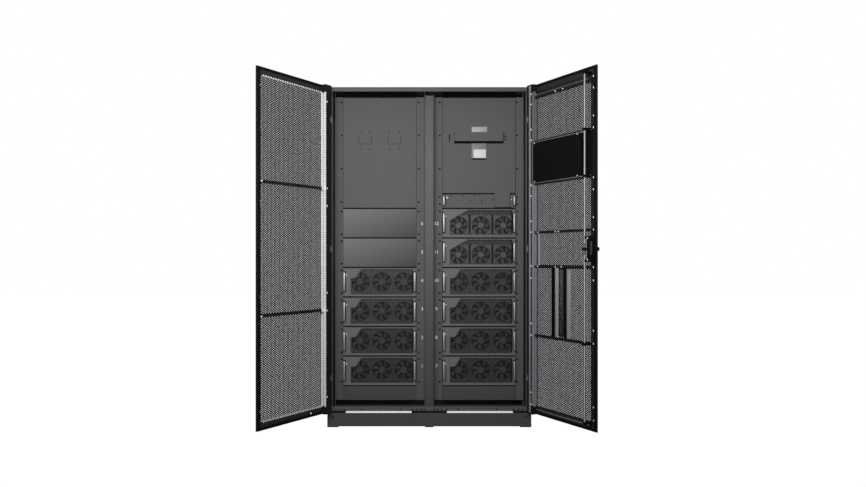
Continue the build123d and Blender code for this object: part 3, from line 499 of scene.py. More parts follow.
def perforated_sheet_tree():
    """Sheet with six-sided holes inside a flat outline; tiles that meet the outline stay whole."""
    tree, given = new_tree("perforated_sheet", (
        ("Columns", "Int"), ("Rows", "Int"), ("Middle", "Vector"), ("Pitch", "Float"), ("Hole", "Float"),
        ("Thickness", "Float"), ("Opening Middle", "Vector"), ("Opening Half", "Vector"),
        ("Material", "Material")))
    pitch = given["Pitch"]
    corner = calc(tree, "DIVIDE", pitch, math.sqrt(3))
    hole_corner = calc(tree, "DIVIDE", given["Hole"], math.sqrt(3))
    column_step = calc(tree, "MULTIPLY", pitch, math.sqrt(3))
    width = calc(tree, "MULTIPLY", column_step, calc(tree, "SUBTRACT", given["Columns"], 1.0))
    height = calc(tree, "MULTIPLY", pitch, calc(tree, "SUBTRACT", given["Rows"], 1.0))
    lattice = result(tree, "GeometryNodeMeshGrid", {
        "Size X": width, "Size Y": height, "Vertices X": given["Columns"], "Vertices Y": given["Rows"]})
    half_step = combine(tree, calc(tree, "DIVIDE", column_step, 2.0), calc(tree, "DIVIDE", pitch, 2.0), 0.0)
    between = result(tree, "GeometryNodeTransform", {"Geometry": lattice, "Translation": half_step})
    both_rows = join(tree, lattice, between)
    points = result(tree, "GeometryNodeTransform", {
        "Geometry": both_rows, "Translation": given["Middle"]})

    here = tree.nodes.new("GeometryNodeInputPosition").outputs[0]
    above = vector_calc(tree, "ADD", here, (0, 0, 1))
    inside = add_node(tree, "GeometryNodeRaycast", {
        "Target Geometry": given["Geometry"], "Source Position": above, "Ray Direction": (0, 0, -1),
        "Ray Length": 2.0}).outputs["Is Hit"]
    edge_gap = add_node(tree, "GeometryNodeProximity", {
        0: given["Geometry"], "Sample Position": here}, target_element="EDGES").outputs["Distance"]
    offset = vector_calc(tree, "ABSOLUTE", vector_calc(tree, "SUBTRACT", here, given["Opening Middle"]))
    offset_xyz = add_node(tree, "ShaderNodeSeparateXYZ", {0: offset}).outputs
    half_xyz = add_node(tree, "ShaderNodeSeparateXYZ", {0: given["Opening Half"]}).outputs
    in_opening = both(tree, "AND", calc(tree, "LESS_THAN", offset_xyz[0], half_xyz[0]),
                      calc(tree, "LESS_THAN", offset_xyz[1], half_xyz[1]))
    clear = calc(tree, "GREATER_THAN", edge_gap, hole_corner)
    holed = both(tree, "AND", inside, clear)
    near = calc(tree, "LESS_THAN", edge_gap, corner)
    kept = both(tree, "NIMPLY", both(tree, "OR", inside, near), in_opening)
    whole = both(tree, "NIMPLY", kept, holed)
    ringed = both(tree, "AND", kept, holed)

    tile = result(tree, "GeometryNodeMeshCircle", {"Vertices": 6, "Radius": corner}, fill_type="NGON")
    lifted = add_node(tree, "GeometryNodeExtrudeMesh", {
        "Mesh": tile, "Offset Scale": 0.0, "Individual": False}, mode="FACES")
    share = calc(tree, "DIVIDE", given["Hole"], pitch)
    shrunk = result(tree, "ShaderNodeVectorMath", {0: here, "Scale": share}, operation="SCALE")
    inner = result(tree, "GeometryNodeSetPosition", {
        "Geometry": lifted.outputs["Mesh"], "Selection": lifted.outputs["Top"], "Position": shrunk})
    ring = result(tree, "GeometryNodeDeleteGeometry", {
        "Geometry": inner, "Selection": lifted.outputs["Top"]}, domain="FACE")
    rings = result(tree, "GeometryNodeInstanceOnPoints", {
        "Points": points, "Selection": ringed, "Instance": ring})
    tiles = result(tree, "GeometryNodeInstanceOnPoints", {
        "Points": points, "Selection": whole, "Instance": tile})
    flat = result(tree, "GeometryNodeRealizeInstances", {0: join(tree, rings, tiles)})
    welded = result(tree, "GeometryNodeMergeByDistance", {"Geometry": flat, "Distance": TILE_WELD})
    return end_tree(tree, given, thicken(tree, welded, given["Thickness"]))


HUB_SIDES = 28

# Rotor: root of the blades and cap as shares of the hub's radius, the rest as shares of the depth
ROOT_SHARE = 0.94
CAP_R_SHARE = 0.86
BLADE_SHARE = 0.55
BARREL_SHARE = 0.9
ROTOR_CAP_SHARE = 0.1


def fan_rotor_tree():
    """Rotor with a chamfered hub and swept, pitched blades, on every point; it turns about Z."""
    tree, given = new_tree("fan_rotors", (
        ("Blades", "Int"), ("Hub", "Float"), ("Tip", "Float"), ("Depth", "Float"), ("Span", "Float"),
        ("Sweep", "Float"), ("Rise", "Float"), ("Thickness", "Float"), ("Material", "Material")))
    here = tree.nodes.new("GeometryNodeInputPosition").outputs[0]
    strip = result(tree, "GeometryNodeMeshGrid", {
        "Size X": 1.0, "Size Y": 1.0, "Vertices X": 6, "Vertices Y": 5})
    grid_xyz = add_node(tree, "ShaderNodeSeparateXYZ", {0: here}).outputs
    along = calc(tree, "ADD", grid_xyz[0], 0.5)
    root = calc(tree, "MULTIPLY", given["Hub"], ROOT_SHARE)
    reach = calc(tree, "MULTIPLY", along, calc(tree, "SUBTRACT", given["Tip"], root))
    radius = calc(tree, "ADD", root, reach)
    turn = calc(tree, "ADD", calc(tree, "MULTIPLY", grid_xyz[1], given["Span"]),
                calc(tree, "MULTIPLY", calc(tree, "MULTIPLY", along, along), given["Sweep"]))
    bow = calc(tree, "MULTIPLY", calc(tree, "MULTIPLY", grid_xyz[1], grid_xyz[1]), given["Rise"])
    climb = calc(tree, "SUBTRACT", calc(tree, "MULTIPLY", grid_xyz[1], given["Rise"]), bow)
    height = calc(tree, "ADD", calc(tree, "MULTIPLY", given["Depth"], BLADE_SHARE), climb)
    bent = combine(tree, calc(tree, "MULTIPLY", radius, calc(tree, "COSINE", turn)),
                   calc(tree, "MULTIPLY", radius, calc(tree, "SINE", turn)), height)
    blade = result(tree, "GeometryNodeSetPosition", {"Geometry": strip, "Position": bent})
    blade = thicken(tree, blade, given["Thickness"])
    ring = result(tree, "GeometryNodePoints", {"Count": given["Blades"]})
    step = calc(tree, "DIVIDE", 2 * math.pi, given["Blades"])
    index = tree.nodes.new("GeometryNodeInputIndex").outputs[0]
    around = combine(tree, 0.0, 0.0, calc(tree, "MULTIPLY", index, step))
    blades = result(tree, "GeometryNodeInstanceOnPoints", {
        "Points": ring, "Instance": blade, "Rotation": around})
    hub_depth = calc(tree, "MULTIPLY", given["Depth"], BARREL_SHARE)
    barrel = result(tree, "GeometryNodeMeshCylinder", {
        "Vertices": HUB_SIDES, "Radius": given["Hub"], "Depth": hub_depth})
    barrel_up = combine(tree, 0.0, 0.0, calc(tree, "DIVIDE", hub_depth, 2.0))
    barrel = result(tree, "GeometryNodeTransform", {"Geometry": barrel, "Translation": barrel_up})
    cap_height = calc(tree, "MULTIPLY", given["Depth"], ROTOR_CAP_SHARE)
    cap_radius = calc(tree, "MULTIPLY", given["Hub"], CAP_R_SHARE)
    cap = result(tree, "GeometryNodeMeshCone", {
        "Vertices": HUB_SIDES, "Radius Top": cap_radius, "Radius Bottom": given["Hub"], "Depth": cap_height})
    cap = result(tree, "GeometryNodeTransform", {
        "Geometry": cap, "Translation": combine(tree, 0.0, 0.0, hub_depth)})
    rotor = join(tree, blades, barrel, cap)
    rotors = result(tree, "GeometryNodeInstanceOnPoints", {
        "Points": given["Geometry"], "Instance": rotor})
    return end_tree(tree, given, rotors)


def repeat_tree():
    """One pattern piece on every point."""
    tree, given = new_tree("repeat_piece", (("Pattern", "Object"), ("Material", "Material")))
    pattern = add_node(tree, "GeometryNodeObjectInfo", {"Object": given["Pattern"]}).outputs["Geometry"]
    copies = result(tree, "GeometryNodeInstanceOnPoints", {
        "Points": given["Geometry"], "Instance": pattern})
    return end_tree(tree, given, copies)


TREES = {}


def tree_named(name):
    """Node tree, built on first use."""
    makers = {"perforated": perforated_sheet_tree, "fans": fan_rotor_tree, "repeat": repeat_tree}
    if name not in TREES:
        TREES[name] = makers[name]()
    return TREES[name]


def grow(tree, base, values):
    """Run a node tree on a base mesh and return the result as a plain mesh."""
    holder = bpy.data.objects.new("growing", base)
    bpy.context.scene.collection.objects.link(holder)
    modifier = holder.modifiers.new("grow", "NODES")
    modifier.node_group = tree
    for item in tree.interface.items_tree:
        if item.in_out == "INPUT" and item.name in values:
            modifier[item.identifier] = values[item.name]
    graph = bpy.context.evaluated_depsgraph_get()
    mesh = bpy.data.meshes.new_from_object(holder.evaluated_get(graph))
    holder.modifiers.clear()
    bpy.data.objects.remove(holder)
    bpy.data.meshes.remove(base)
    if not mesh.polygons:
        raise RuntimeError(f"{tree.name} made no faces")
    return mesh


def points_mesh(points):
    """Mesh of loose points."""
    mesh = bpy.data.meshes.new("points")
    mesh.from_pydata([tuple(point) for point in points], [], [])
    return mesh


def repeat(pattern, points, finish_name, face=RACK_FACE):
    """Copies of a pattern mesh on points of the cabinet's frame; the pattern's Z looks out of the face."""
    mould = bpy.data.objects.new("pattern", pattern)
    bpy.context.scene.collection.objects.link(mould)
    to_face = face.inverted()
    base = points_mesh([to_face @ Vector(point) for point in points])
    mesh = grow(tree_named("repeat"), base, {"Pattern": mould, "Material": FINISHES[finish_name]})
    bpy.data.objects.remove(mould)
    bpy.data.meshes.remove(pattern)
    mesh.transform(face)
    return mesh


def place_copies(name, pattern, points, finish_name, replaces=()):
    """Piece of copies of a pattern that look to the doors' side."""
    place(name, repeat(pattern, points, finish_name), finish_name, replaces)


def perforate(outline, pitch, hole, thickness, finish_name, opening=None):
    """Perforated sheet in the XY plane that fills an outline, from z = 0 up."""
    base = bpy.data.meshes.new("outline")
    base.from_pydata([(x, y, 0) for x, y in outline], [], [list(range(len(outline)))])
    xs = [x for x, y in outline]
    ys = [y for x, y in outline]
    column_step = pitch * math.sqrt(3)
    middle = Vector(((min(xs) + max(xs)) / 2, (min(ys) + max(ys)) / 2, 0))
    low, high = opening or ((0, 0), (0, 0))
    half = Vector(((high[0] - low[0]) / 2, (high[1] - low[1]) / 2, 0))
    values = {
        "Columns": 2 * int((max(xs) - min(xs)) / column_step / 2 + 1) + 1,
        "Rows": 2 * int((max(ys) - min(ys)) / pitch / 2 + 1) + 1,
        "Middle": middle, "Pitch": pitch, "Hole": hole, "Thickness": thickness,
        "Opening Middle": Vector(((low[0] + high[0]) / 2, (low[1] + high[1]) / 2, 0)),
        "Opening Half": half, "Material": FINISHES[finish_name],
    }
    return grow(tree_named("perforated"), base, values)


SCREW_STEPS = 12


def screw_pattern(radius, height, socket=0.5):
    """Low head with a softened shoulder and a socket; Z looks out."""
    shape = Shape()
    profile = [(0, -0.4 * height), (radius, -0.4 * height), (radius, 0.55 * height), (0.82 * radius, height),
               (socket * radius, height), (socket * radius, 0.35 * height), (0, 0.35 * height)]
    shape.lathe(profile, SCREW_STEPS)
    return shape.mesh("screw")


def disc_pattern(radius, height, dome=0.0, steps=16):
    """Round plate or lens with a softened edge; Z looks out."""
    shape = Shape()
    profile = [(0, -height), (radius, -height), (radius, 0.5 * height), (0.86 * radius, height),
               (0.5 * radius, height + 0.7 * dome), (0, height + dome)]
    shape.lathe(profile, steps)
    return shape.mesh("disc")


# Finishes

GROUPS = {}
CLOUD_SCALE = 2.6
CLOUD_SHARE = 0.65
STREAK_SHARE = 0.12
DUST_GREY = (0.42, 0.41, 0.40, 1)
RELIEF = 0.0004


def new_group(name, inputs, outputs):
    """Shader node group with named inputs and outputs."""
    group = bpy.data.node_groups.new(name, "ShaderNodeTree")
    for label, kind in inputs:
        group.interface.new_socket(label, in_out="INPUT", socket_type=f"NodeSocket{kind}")
    for label, kind in outputs:
        group.interface.new_socket(label, in_out="OUTPUT", socket_type=f"NodeSocket{kind}")
    return group, group.nodes.new("NodeGroupInput").outputs, group.nodes.new("NodeGroupOutput").inputs


def mix_colour(tree, share, first, second):
    """Colour between two others."""
    return add_node(tree, "ShaderNodeMix", {0: share, 6: first, 7: second}, data_type="RGBA").outputs[2]


def shade(tree, colour, tone):
    """Colour made lighter or darker by a factor."""
    return vector_calc(tree, "MULTIPLY", colour, combine(tree, tone, tone, tone))


def part_way(tree, low, high, share):
    """Value between two others."""
    return calc(tree, "ADD", low, calc(tree, "MULTIPLY", share, calc(tree, "SUBTRACT", high, low)))


def coat_group():
    """Sprayed or moulded skin: fine grain, cloudy tone and a gloss that wanders with it."""
    group, given, out = new_group(
        "sprayed_skin",
        (("Vector", "Vector"), ("Color", "Color"), ("Grain", "Float"), ("Spread", "Float"),
         ("Gloss Low", "Float"), ("Gloss High", "Float"), ("Dust", "Float")),
        (("Color", "Color"), ("Roughness", "Float"), ("Height", "Float")))
    grain = result(group, "ShaderNodeTexNoise", {
        "Vector": given["Vector"], "Scale": given["Grain"], "Detail": 2.0})
    cloud = result(group, "ShaderNodeTexNoise", {
        "Vector": given["Vector"], "Scale": CLOUD_SCALE, "Detail": 3.0, "Roughness": 0.55})
    wander = calc(group, "ADD", calc(group, "MULTIPLY", grain, 1 - CLOUD_SHARE),
                  calc(group, "MULTIPLY", cloud, CLOUD_SHARE))
    swing = calc(group, "MULTIPLY", calc(group, "SUBTRACT", wander, 0.5), given["Spread"])
    toned = shade(group, given["Color"], calc(group, "ADD", swing, 1.0))
    normal = add_node(group, "ShaderNodeSeparateXYZ", {
        0: group.nodes.new("ShaderNodeNewGeometry").outputs["Normal"]}).outputs[2]
    settled = calc(group, "MULTIPLY", calc(group, "MAXIMUM", normal, 0.0), cloud)
    dusty = calc(group, "MULTIPLY", settled, given["Dust"])
    group.links.new(mix_colour(group, dusty, toned, DUST_GREY), out["Color"])
    group.links.new(part_way(group, given["Gloss Low"], given["Gloss High"], wander), out["Roughness"])
    group.links.new(grain, out["Height"])
    return group


def metal_group():
    """Bare metal: streaks along one way and the flakes of zinc."""
    group, given, out = new_group(
        "bare_metal",
        (("Vector", "Vector"), ("Color", "Color"), ("Stretch", "Vector"), ("Flake", "Float"),
         ("Flake Share", "Float"), ("Gloss Low", "Float"), ("Gloss High", "Float")),
        (("Color", "Color"), ("Roughness", "Float"), ("Height", "Float")))
    drawn = vector_calc(group, "MULTIPLY", given["Vector"], given["Stretch"])
    streak = result(group, "ShaderNodeTexNoise", {"Vector": drawn, "Scale": 1.0, "Detail": 4.0})
    flake = add_node(group, "ShaderNodeTexVoronoi", {
        "Vector": given["Vector"], "Scale": given["Flake"]}).outputs["Color"]
    flake_tone = result(group, "ShaderNodeSeparateXYZ", {0: flake})
    swing = calc(group, "MULTIPLY", calc(group, "SUBTRACT", flake_tone, 0.5), given["Flake Share"])
    streaked = part_way(group, 1 - STREAK_SHARE, 1 + STREAK_SHARE, streak)
    group.links.new(shade(group, given["Color"], calc(group, "ADD", streaked, swing)), out["Color"])
    group.links.new(part_way(group, given["Gloss Low"], given["Gloss High"], streak), out["Roughness"])
    group.links.new(streak, out["Height"])
    return group


def finish(name, group, values, bump, metallic=0.0, specular=0.5):
    """Material with a shared skin group on a Principled shader."""
    material = bpy.data.materials.new(name)
    material.use_nodes = True
    tree = material.node_tree
    shader = tree.nodes["Principled BSDF"]
    place_on = tree.nodes.new("ShaderNodeTexCoord").outputs["Object"]
    skin = tree.nodes.new("ShaderNodeGroup")
    skin.node_tree = group
    tree.links.new(place_on, skin.inputs["Vector"])
    for label, value in values.items():
        skin.inputs[label].default_value = value
    tree.links.new(skin.outputs["Color"], shader.inputs["Base Color"])
    tree.links.new(skin.outputs["Roughness"], shader.inputs["Roughness"])
    relief = result(tree, "ShaderNodeBump", {
        "Strength": bump, "Distance": RELIEF, "Height": skin.outputs["Height"]})
    tree.links.new(relief, shader.inputs["Normal"])
    shader.inputs["Metallic"].default_value = metallic
    shader.inputs["Specular IOR Level"].default_value = specular
    return material


def coated(name, colour, grain, gloss, spread=0.16, bump=0.25, dust=0.0, specular=0.5):
    """Powder coat or moulded plastic."""
    values = {"Color": (*colour, 1), "Grain": grain, "Spread": spread, "Gloss Low": gloss[0],
              "Gloss High": gloss[1], "Dust": dust}
    return finish(name, GROUPS["coat"], values, bump, specular=specular)


def bare_metal(name, colour, stretch, gloss, flake=60.0, flake_share=0.0, bump=0.12, metallic=1.0):
    """Steel, zinc or anodised metal."""
    values = {"Color": (*colour, 1), "Stretch": stretch, "Flake": flake, "Flake Share": flake_share,
              "Gloss Low": gloss[0], "Gloss High": gloss[1]}
    return finish(name, GROUPS["metal"], values, bump, metallic=metallic)


def swept(name, base):
    """Copy of a coat with a painted sheen: its tone falls off from the upper left to the lower right of every rack
    slot, the way a reflection of the light would.
    """
    material = base.copy()
    material.name = name
    tree = material.node_tree
    shader = tree.nodes["Principled BSDF"]
    spot = add_node(tree, "ShaderNodeSeparateXYZ", {
        0: tree.nodes.new("ShaderNodeTexCoord").outputs["Object"]}).outputs
    rows = calc(tree, "DIVIDE", calc(tree, "SUBTRACT", spot[2], SLOTS_LOW), SLOT_PITCH)
    down = calc(tree, "FRACT", rows)
    across = calc(tree, "DIVIDE", calc(tree, "SUBTRACT", spot[0], BAY_LEFT["left"]), PANEL_W)
    fall = calc(tree, "SUBTRACT", down, across)
    tone = calc(tree, "ADD", calc(tree, "MULTIPLY", fall, PAINTED_SHEEN_FALL), PAINTED_SHEEN_LIFT)
    coat = shader.inputs["Base Color"].links[0].from_socket
    tree.links.new(shade(tree, coat, tone), shader.inputs["Base Color"])
    return material


def grey(tone, blue=0.0):
    """Grey colour, with a little more or less blue if given."""
    return tone, tone, tone + blue


def glow(finish_name, colour, strength):
    """Let a finish give some light of its own."""
    shader = FINISHES[finish_name].node_tree.nodes["Principled BSDF"]
    shader.inputs["Emission Color"].default_value = (*colour, 1)
    shader.inputs["Emission Strength"].default_value = strength


FINISHES = {}
# Painted sheen of the blank panels: how far their tone falls across a slot, and where it starts
PAINTED_SHEEN_FALL = 0.66
PAINTED_SHEEN_LIFT = 1.20
LAMP_GLOW = 0.25
# STRIP_GLOW: glow of the slit strips, painted light for the brightness seen through the slits
STRIP_GLOW = 0.35

# Moulded fan pieces: finish, name of its material, tone, grain, spread
MOULDED = (("fan_plastic", "fan_plastic", 0.105, 420.0, 0.2), ("cover_dark", "cover_dark", 0.060, 420.0, 0.2),
           ("low_fan", "low_fan_plastic", 0.140, 420.0, 0.2), ("hub_grey", "hub_grey", 0.084, 500.0, 0.1),
           ("low_hub", "low_hub_grey", 0.165, 500.0, 0.1))


def coats(colours):
    """Powder coats and moulded plastics."""
    satin = {"spread": 0.07, "bump": 0.15, "specular": 0.25}
    for name, label, tone, grain, spread in MOULDED:
        FINISHES[name] = coated(label, grey(tone, 0.002), grain, (0.60, 0.75), spread=spread, specular=0.12)
    FINISHES.update({
        "frame_paint": coated("frame_coat", colours.frame_grey, 900.0, (0.42, 0.60), dust=0.06),
        "panel_paint": coated("panel_coat", colours.panel_grey, 1100.0, (0.55, 0.68), **satin),
        "bezel_paint": coated("bezel_coat", colours.bezel_grey, 1100.0, (0.55, 0.68), **satin),
        "door_paint": coated("door_coat", colours.door_black, 900.0, (0.44, 0.62), dust=0.03, specular=0.3),
        "mesh_sheet": coated("mesh_coat", colours.door_black, 700.0, (0.46, 0.66), spread=0.25, specular=0.3),
        "grille_black": coated("grille_coat", grey(0.042, 0.002), 800.0, (0.45, 0.62), spread=0.25),
        "low_tray": coated("low_tray_coat", grey(0.085, 0.002), 700.0, (0.42, 0.58), spread=0.2),
        "rail_black": coated("rail_coat", grey(0.030, 0.001), 900.0, (0.5, 0.66), spread=0.1, specular=0.2),
        "black_plastic": coated("black_plastic", grey(0.005, 0.0005), 650.0, (0.5, 0.66), spread=0.2,
                                dust=0.02, specular=0.12),
        # Near black for painted shade in gaps, along the grille openings and behind the fans, and for dark
        # collars, rings and spacers
        "line_dark": coated("line_dark", grey(0.010), 500.0, (0.7, 0.85), spread=0.2, specular=0.1),
        "rubber": coated("seal_rubber", grey(0.004), 500.0, (0.7, 0.85), spread=0.3, specular=0.15),
        # Near black for painted shade in gaps, recesses, slots and holes, and for the black rack screws
        "hole_black": coated("hole_black", grey(0.003), 500.0, (0.75, 0.9), spread=0.3, specular=0.1),
        "card_white": coated("card_white", (0.80, 0.81, 0.86), 500.0, (0.45, 0.6), spread=0.05, bump=0.03),
        "label_light": coated("label_light", grey(0.44, 0.005), 700.0, (0.38, 0.5), spread=0.1, bump=0.1),
        "plate_light": coated("plate_light", grey(0.23, 0.005), 700.0, (0.38, 0.5), spread=0.1, bump=0.1),
        # Painted light: the white of the slit strips stands for the brightness seen through the air slits
        "painted_light_white": coated("painted_light_white", grey(0.90, -0.01), 300.0, (0.5, 0.7), spread=0.06, bump=0.1),
        "number_ink": coated("number_ink", grey(0.92), 900.0, (0.5, 0.65), spread=0.10, bump=0.05),
        "screen_glass": coated("screen_glass", (0.008, 0.009, 0.011), 40.0, (0.06, 0.12), spread=0.1,
                               bump=0.01),
        "button_red": coated("button_plastic", colours.button_red, 300.0, (0.25, 0.38), spread=0.1,
                             bump=0.05),
        "lamp_green": coated("lamp_green", colours.lamp_green, 300.0, (0.2, 0.3), spread=0.1, bump=0.02),
    })


def metals(colours):
    """Zinc, steel and anodised metal, bright and dull."""
    rolled = (40, 40, 40)
    drawn = (700, 700, 10)
    FINISHES.update({
        "case_zinc": bare_metal("case_zinc", colours.zinc, (30, 30, 30), (0.34, 0.55), 75.0, 0.30),
        "handle_grey": bare_metal("handle_anodised", colours.handle_grey, (600, 600, 8), (0.36, 0.52),
                                  metallic=0.55),
        "bright_steel": bare_metal("bright_steel", colours.steel, drawn, (0.22, 0.40)),
        "rod_grey": bare_metal("rod_grey", grey(0.50, 0.02), drawn, (0.5, 0.65), metallic=0.1),
        "rim_zinc": bare_metal("rim_zinc", grey(0.78, 0.02), rolled, (0.40, 0.58), 90.0, 0.12, metallic=0.25),
        "dull_zinc": bare_metal("dull_zinc", grey(0.42, 0.05), rolled, (0.45, 0.6), 90.0, 0.10, metallic=0.2),
        "tab_white": bare_metal("tab_white", grey(0.93, 0.02), rolled, (0.45, 0.6), 90.0, 0.06, metallic=0.0),
        "strip_dark": bare_metal("strip_dark", grey(0.26, 0.01), (40, 40, 400), (0.5, 0.65), metallic=0.2),
    })


def make_finishes(colours):
    """All materials, by the record's slots and by their own names."""
    GROUPS.update({"coat": coat_group(), "metal": metal_group()})
    coats(colours)
    metals(colours)
    glow("lamp_green", colours.lamp_green, LAMP_GLOW)
    glow("painted_light_white", (1, 1, 1), STRIP_GLOW)
    FINISHES["blank_satin"] = swept("blank_satin", FINISHES["panel_paint"])


# Nodes whose finish differs in tone from the common one of their slot; the blank panels' finish carries a painted
# sheen
OWN_FINISH = {
    "blank_panels": "blank_satin", "module_fronts_left": "bezel_paint", "module_fronts_right": "bezel_paint",
    "base_lips": "panel_paint", "base_spacers": "line_dark", "hinge_strip": "dull_zinc",
    "bottom_plates": "frame_paint", "hinge_brackets": "bezel_paint", "upper_lock_rod": "rod_grey",
    "lower_lock_rod": "rod_grey",
}


class CABINET_OT_finishes(bpy.types.Operator):
    """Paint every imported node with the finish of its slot"""
    bl_idname = "cabinet.finishes"
    bl_label = "Finishes"

    def execute(self, context):
        make_finishes(context.scene.cabinet_finishes)
        for row in frame["record"]["subparts"]:
            node = frame["nodes"][row["node"]]
            node.data.materials.clear()
            node.data.materials.append(FINISHES[OWN_FINISH.get(row["node"], row["material_slot"])])
        return {"FINISHED"}


# Perforated sheets

REAR_STILE = 37 * MM
REAR_LAP = 2 * MM
STRIP_HALF = 5 * MM
STRIP_END = 8 * MM
STRIP_SPLIT = 1426 * MM
SCREEN_U = (205 * MM, 395 * MM)
SCREEN_Z = (1479.5 * MM, 1609.5 * MM)


def whole_rows(height, pitch):
    """Height, no less than the given one, past which whole tiles reach 7/12 of a pitch at either end."""
    spare = 5 / 6
    return (math.ceil(height / pitch - spare) + spare) * pitch


def door_sheet(door, name, v, corners, holes, node, opening=None):
    """Perforated sheet on a door, between two corners at one depth; holes as pitch, width and thickness."""
    face = door.face(v, inward=False)
    to_face = face.inverted()

    def flat(u, z):
        return (to_face @ door.at(u, v, z)).xy

    (u0, z0), (u1, z1) = corners
    gap = None
    if opening:
        ends = [flat(u, z) for u, z in opening]
        gap = tuple(map(min, *ends)), tuple(map(max, *ends))
    outline = [flat(u, z) for u, z in rectangle(u0, u1, z0, z1)]
    sheet = perforate(outline, *holes, "mesh_sheet", gap)
    sheet.transform(door.opened @ face)
    place(name, sheet, "mesh_sheet", (node,), door.body)


def door_pan(door, holes, opening=None):
    """Perforated sheet of one door, in two pieces that meet behind a cross bar, and its folded rim."""
    u0 = HINGE_STILE
    u1 = DOOR_W - FREE_STILE[door.side]
    split = SPLIT_Z[door.side]
    lower = whole_rows(split - BAR_HALF - WINDOW_LOW, holes.door_pitch)
    upper = whole_rows(WINDOW_TOP - split - BAR_HALF, holes.door_pitch)
    spans = (("lower", split - BAR_HALF - lower, split - BAR_HALF, None),
             ("upper", split + BAR_HALF, split + BAR_HALF + upper, opening))
    inner_v = PAN_V + holes.sheet
    node = f"{door.side}_door_mesh"
    pattern = (holes.door_pitch, holes.door_hole, holes.sheet)
    for part, z0, z1, gap in spans:
        door_sheet(door, f"{door.side}_door_sheet_{part}", inner_v, ((u0, z0), (u1, z1)), pattern, node, gap)
    rim = Shape()
    for first, last in ((u0, u0 + holes.sheet), (u1 - holes.sheet, u1)):
        door.box(rim, first, last, inner_v, PAN_RIM, WINDOW_LOW, WINDOW_TOP)
    for first, last in ((WINDOW_LOW, WINDOW_LOW + holes.sheet), (WINDOW_TOP - holes.sheet, WINDOW_TOP)):
        door.box(rim, u0 + holes.sheet, u1 - holes.sheet, inner_v, PAN_RIM, first, last)
    rim_finish = {"left": "rim_zinc", "right": "mesh_sheet"}[door.side]
    door.place(f"{door.side}_door_rim", rim, "mesh_sheet", rim_finish, (node,))


def stile_strip(door, holes):
    """Perforated strips on the side of a hinge stile, facing the sheet."""
    out = Vector((-door.sign, 0, 0))
    low, high = WINDOW_LOW + STRIP_END, WINDOW_TOP - STRIP_END
    spans = {"left": (("strip", low, high, "tab_white"),),
             "right": (("strip", low, STRIP_SPLIT, "dull_zinc"),
                       ("upper_strip", STRIP_SPLIT, high, "strip_dark"))}
    for name, z0, z1, finish_name in spans[door.side]:
        reach = (z1 - z0) / 2
        outline = rectangle(-STRIP_HALF, STRIP_HALF, -reach, reach)
        strip = perforate(outline, holes.strip_pitch, holes.strip_hole, holes.sheet / 2, finish_name)
        middle = door.at(HINGE_STILE, (LEAF_T + DOOR_T) / 2, (z0 + z1) / 2)
        strip.transform(door.opened @ face_matrix(middle, AXIS_Z.cross(out), AXIS_Z))
        place(f"{door.side}_stile_{name}", strip, finish_name, body=door.body)


class CABINET_OT_door_sheets(bpy.types.Operator):
    """Perforated sheets of the doors with their folded rims, and the strips beside them"""
    bl_idname = "cabinet.door_sheets"
    bl_label = "Door sheets"

    def execute(self, context):
        holes = context.scene.cabinet_perforation
        door_pan(DOORS["left"], holes)
        door_pan(DOORS["right"], holes, tuple(zip(SCREEN_U, SCREEN_Z)))
        for door in DOORS.values():
            stile_strip(door, holes)
        return {"FINISHED"}


class CABINET_OT_rear_sheets(bpy.types.Operator):
    """Perforated sheets behind the windows of the rear covers"""
    bl_idname = "cabinet.rear_sheets"
    bl_label = "Rear sheets"

    def execute(self, context):
        holes = context.scene.cabinet_perforation
        low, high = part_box("rear_mesh")
        for side, sign in (("left", -1), ("right", 1)):
            panel_low, panel_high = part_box(f"rear_panel_{side}")
            inner = (panel_low.x if sign > 0 else panel_high.x) + sign * REAR_STILE
            outer = sign * high.x - sign * REAR_LAP
            x0, x1 = sorted((-inner, -outer))
            outline = rectangle(x0, x1, low.z + REAR_LAP, high.z - REAR_LAP)
            sheet = perforate(outline, holes.rear_pitch, holes.rear_hole, holes.sheet, "frame_paint")
            sheet.transform(back_face(low.y))
            place(f"rear_sheet_{side}", sheet, "frame_paint", ("rear_mesh",))
        return {"FINISHED"}


class CABINET_OT_module_grilles(bpy.types.Operator):
    """Honeycomb grilles of all modules"""
    bl_idname = "cabinet.module_grilles"
    bl_label = "Module grilles"

    def execute(self, context):
        holes = context.scene.cabinet_perforation
        pattern = (holes.grille_pitch, holes.grille_hole, holes.sheet)
        for bay in SLOT_KINDS:
            sheets = []
            for slot, kind in SLOT_KINDS[bay].items():
                outline = [slot_point(bay, slot, u, down) for u, down in MODULE_FACES[kind].outline()]
                sheets.append(perforate(outline, *pattern, "grille_black"))
            grille = join_meshes("grille", sheets)
            grille.transform(front_face(PANEL_BACK + holes.sheet))
            place(f"grilles_{bay}", grille, "grille_black", (f"module_grilles_{bay}",))
        return {"FINISHED"}


# Fans

RIM_STEPS = 40
BELL_MOUTH = 3 * MM
FAN_LAP = 4 * MM
BLADE_GAP = 3 * MM
ROTOR_BACK = 2 * MM
HUB_SHARE = 0.95
HUB_STEPS = 24
FAN_LOOKS = (("mid", "grille_black", "fan_plastic", "hub_grey", 1.5 * MM),
             ("low", "low_tray", "low_fan", "low_hub", 7 * MM))


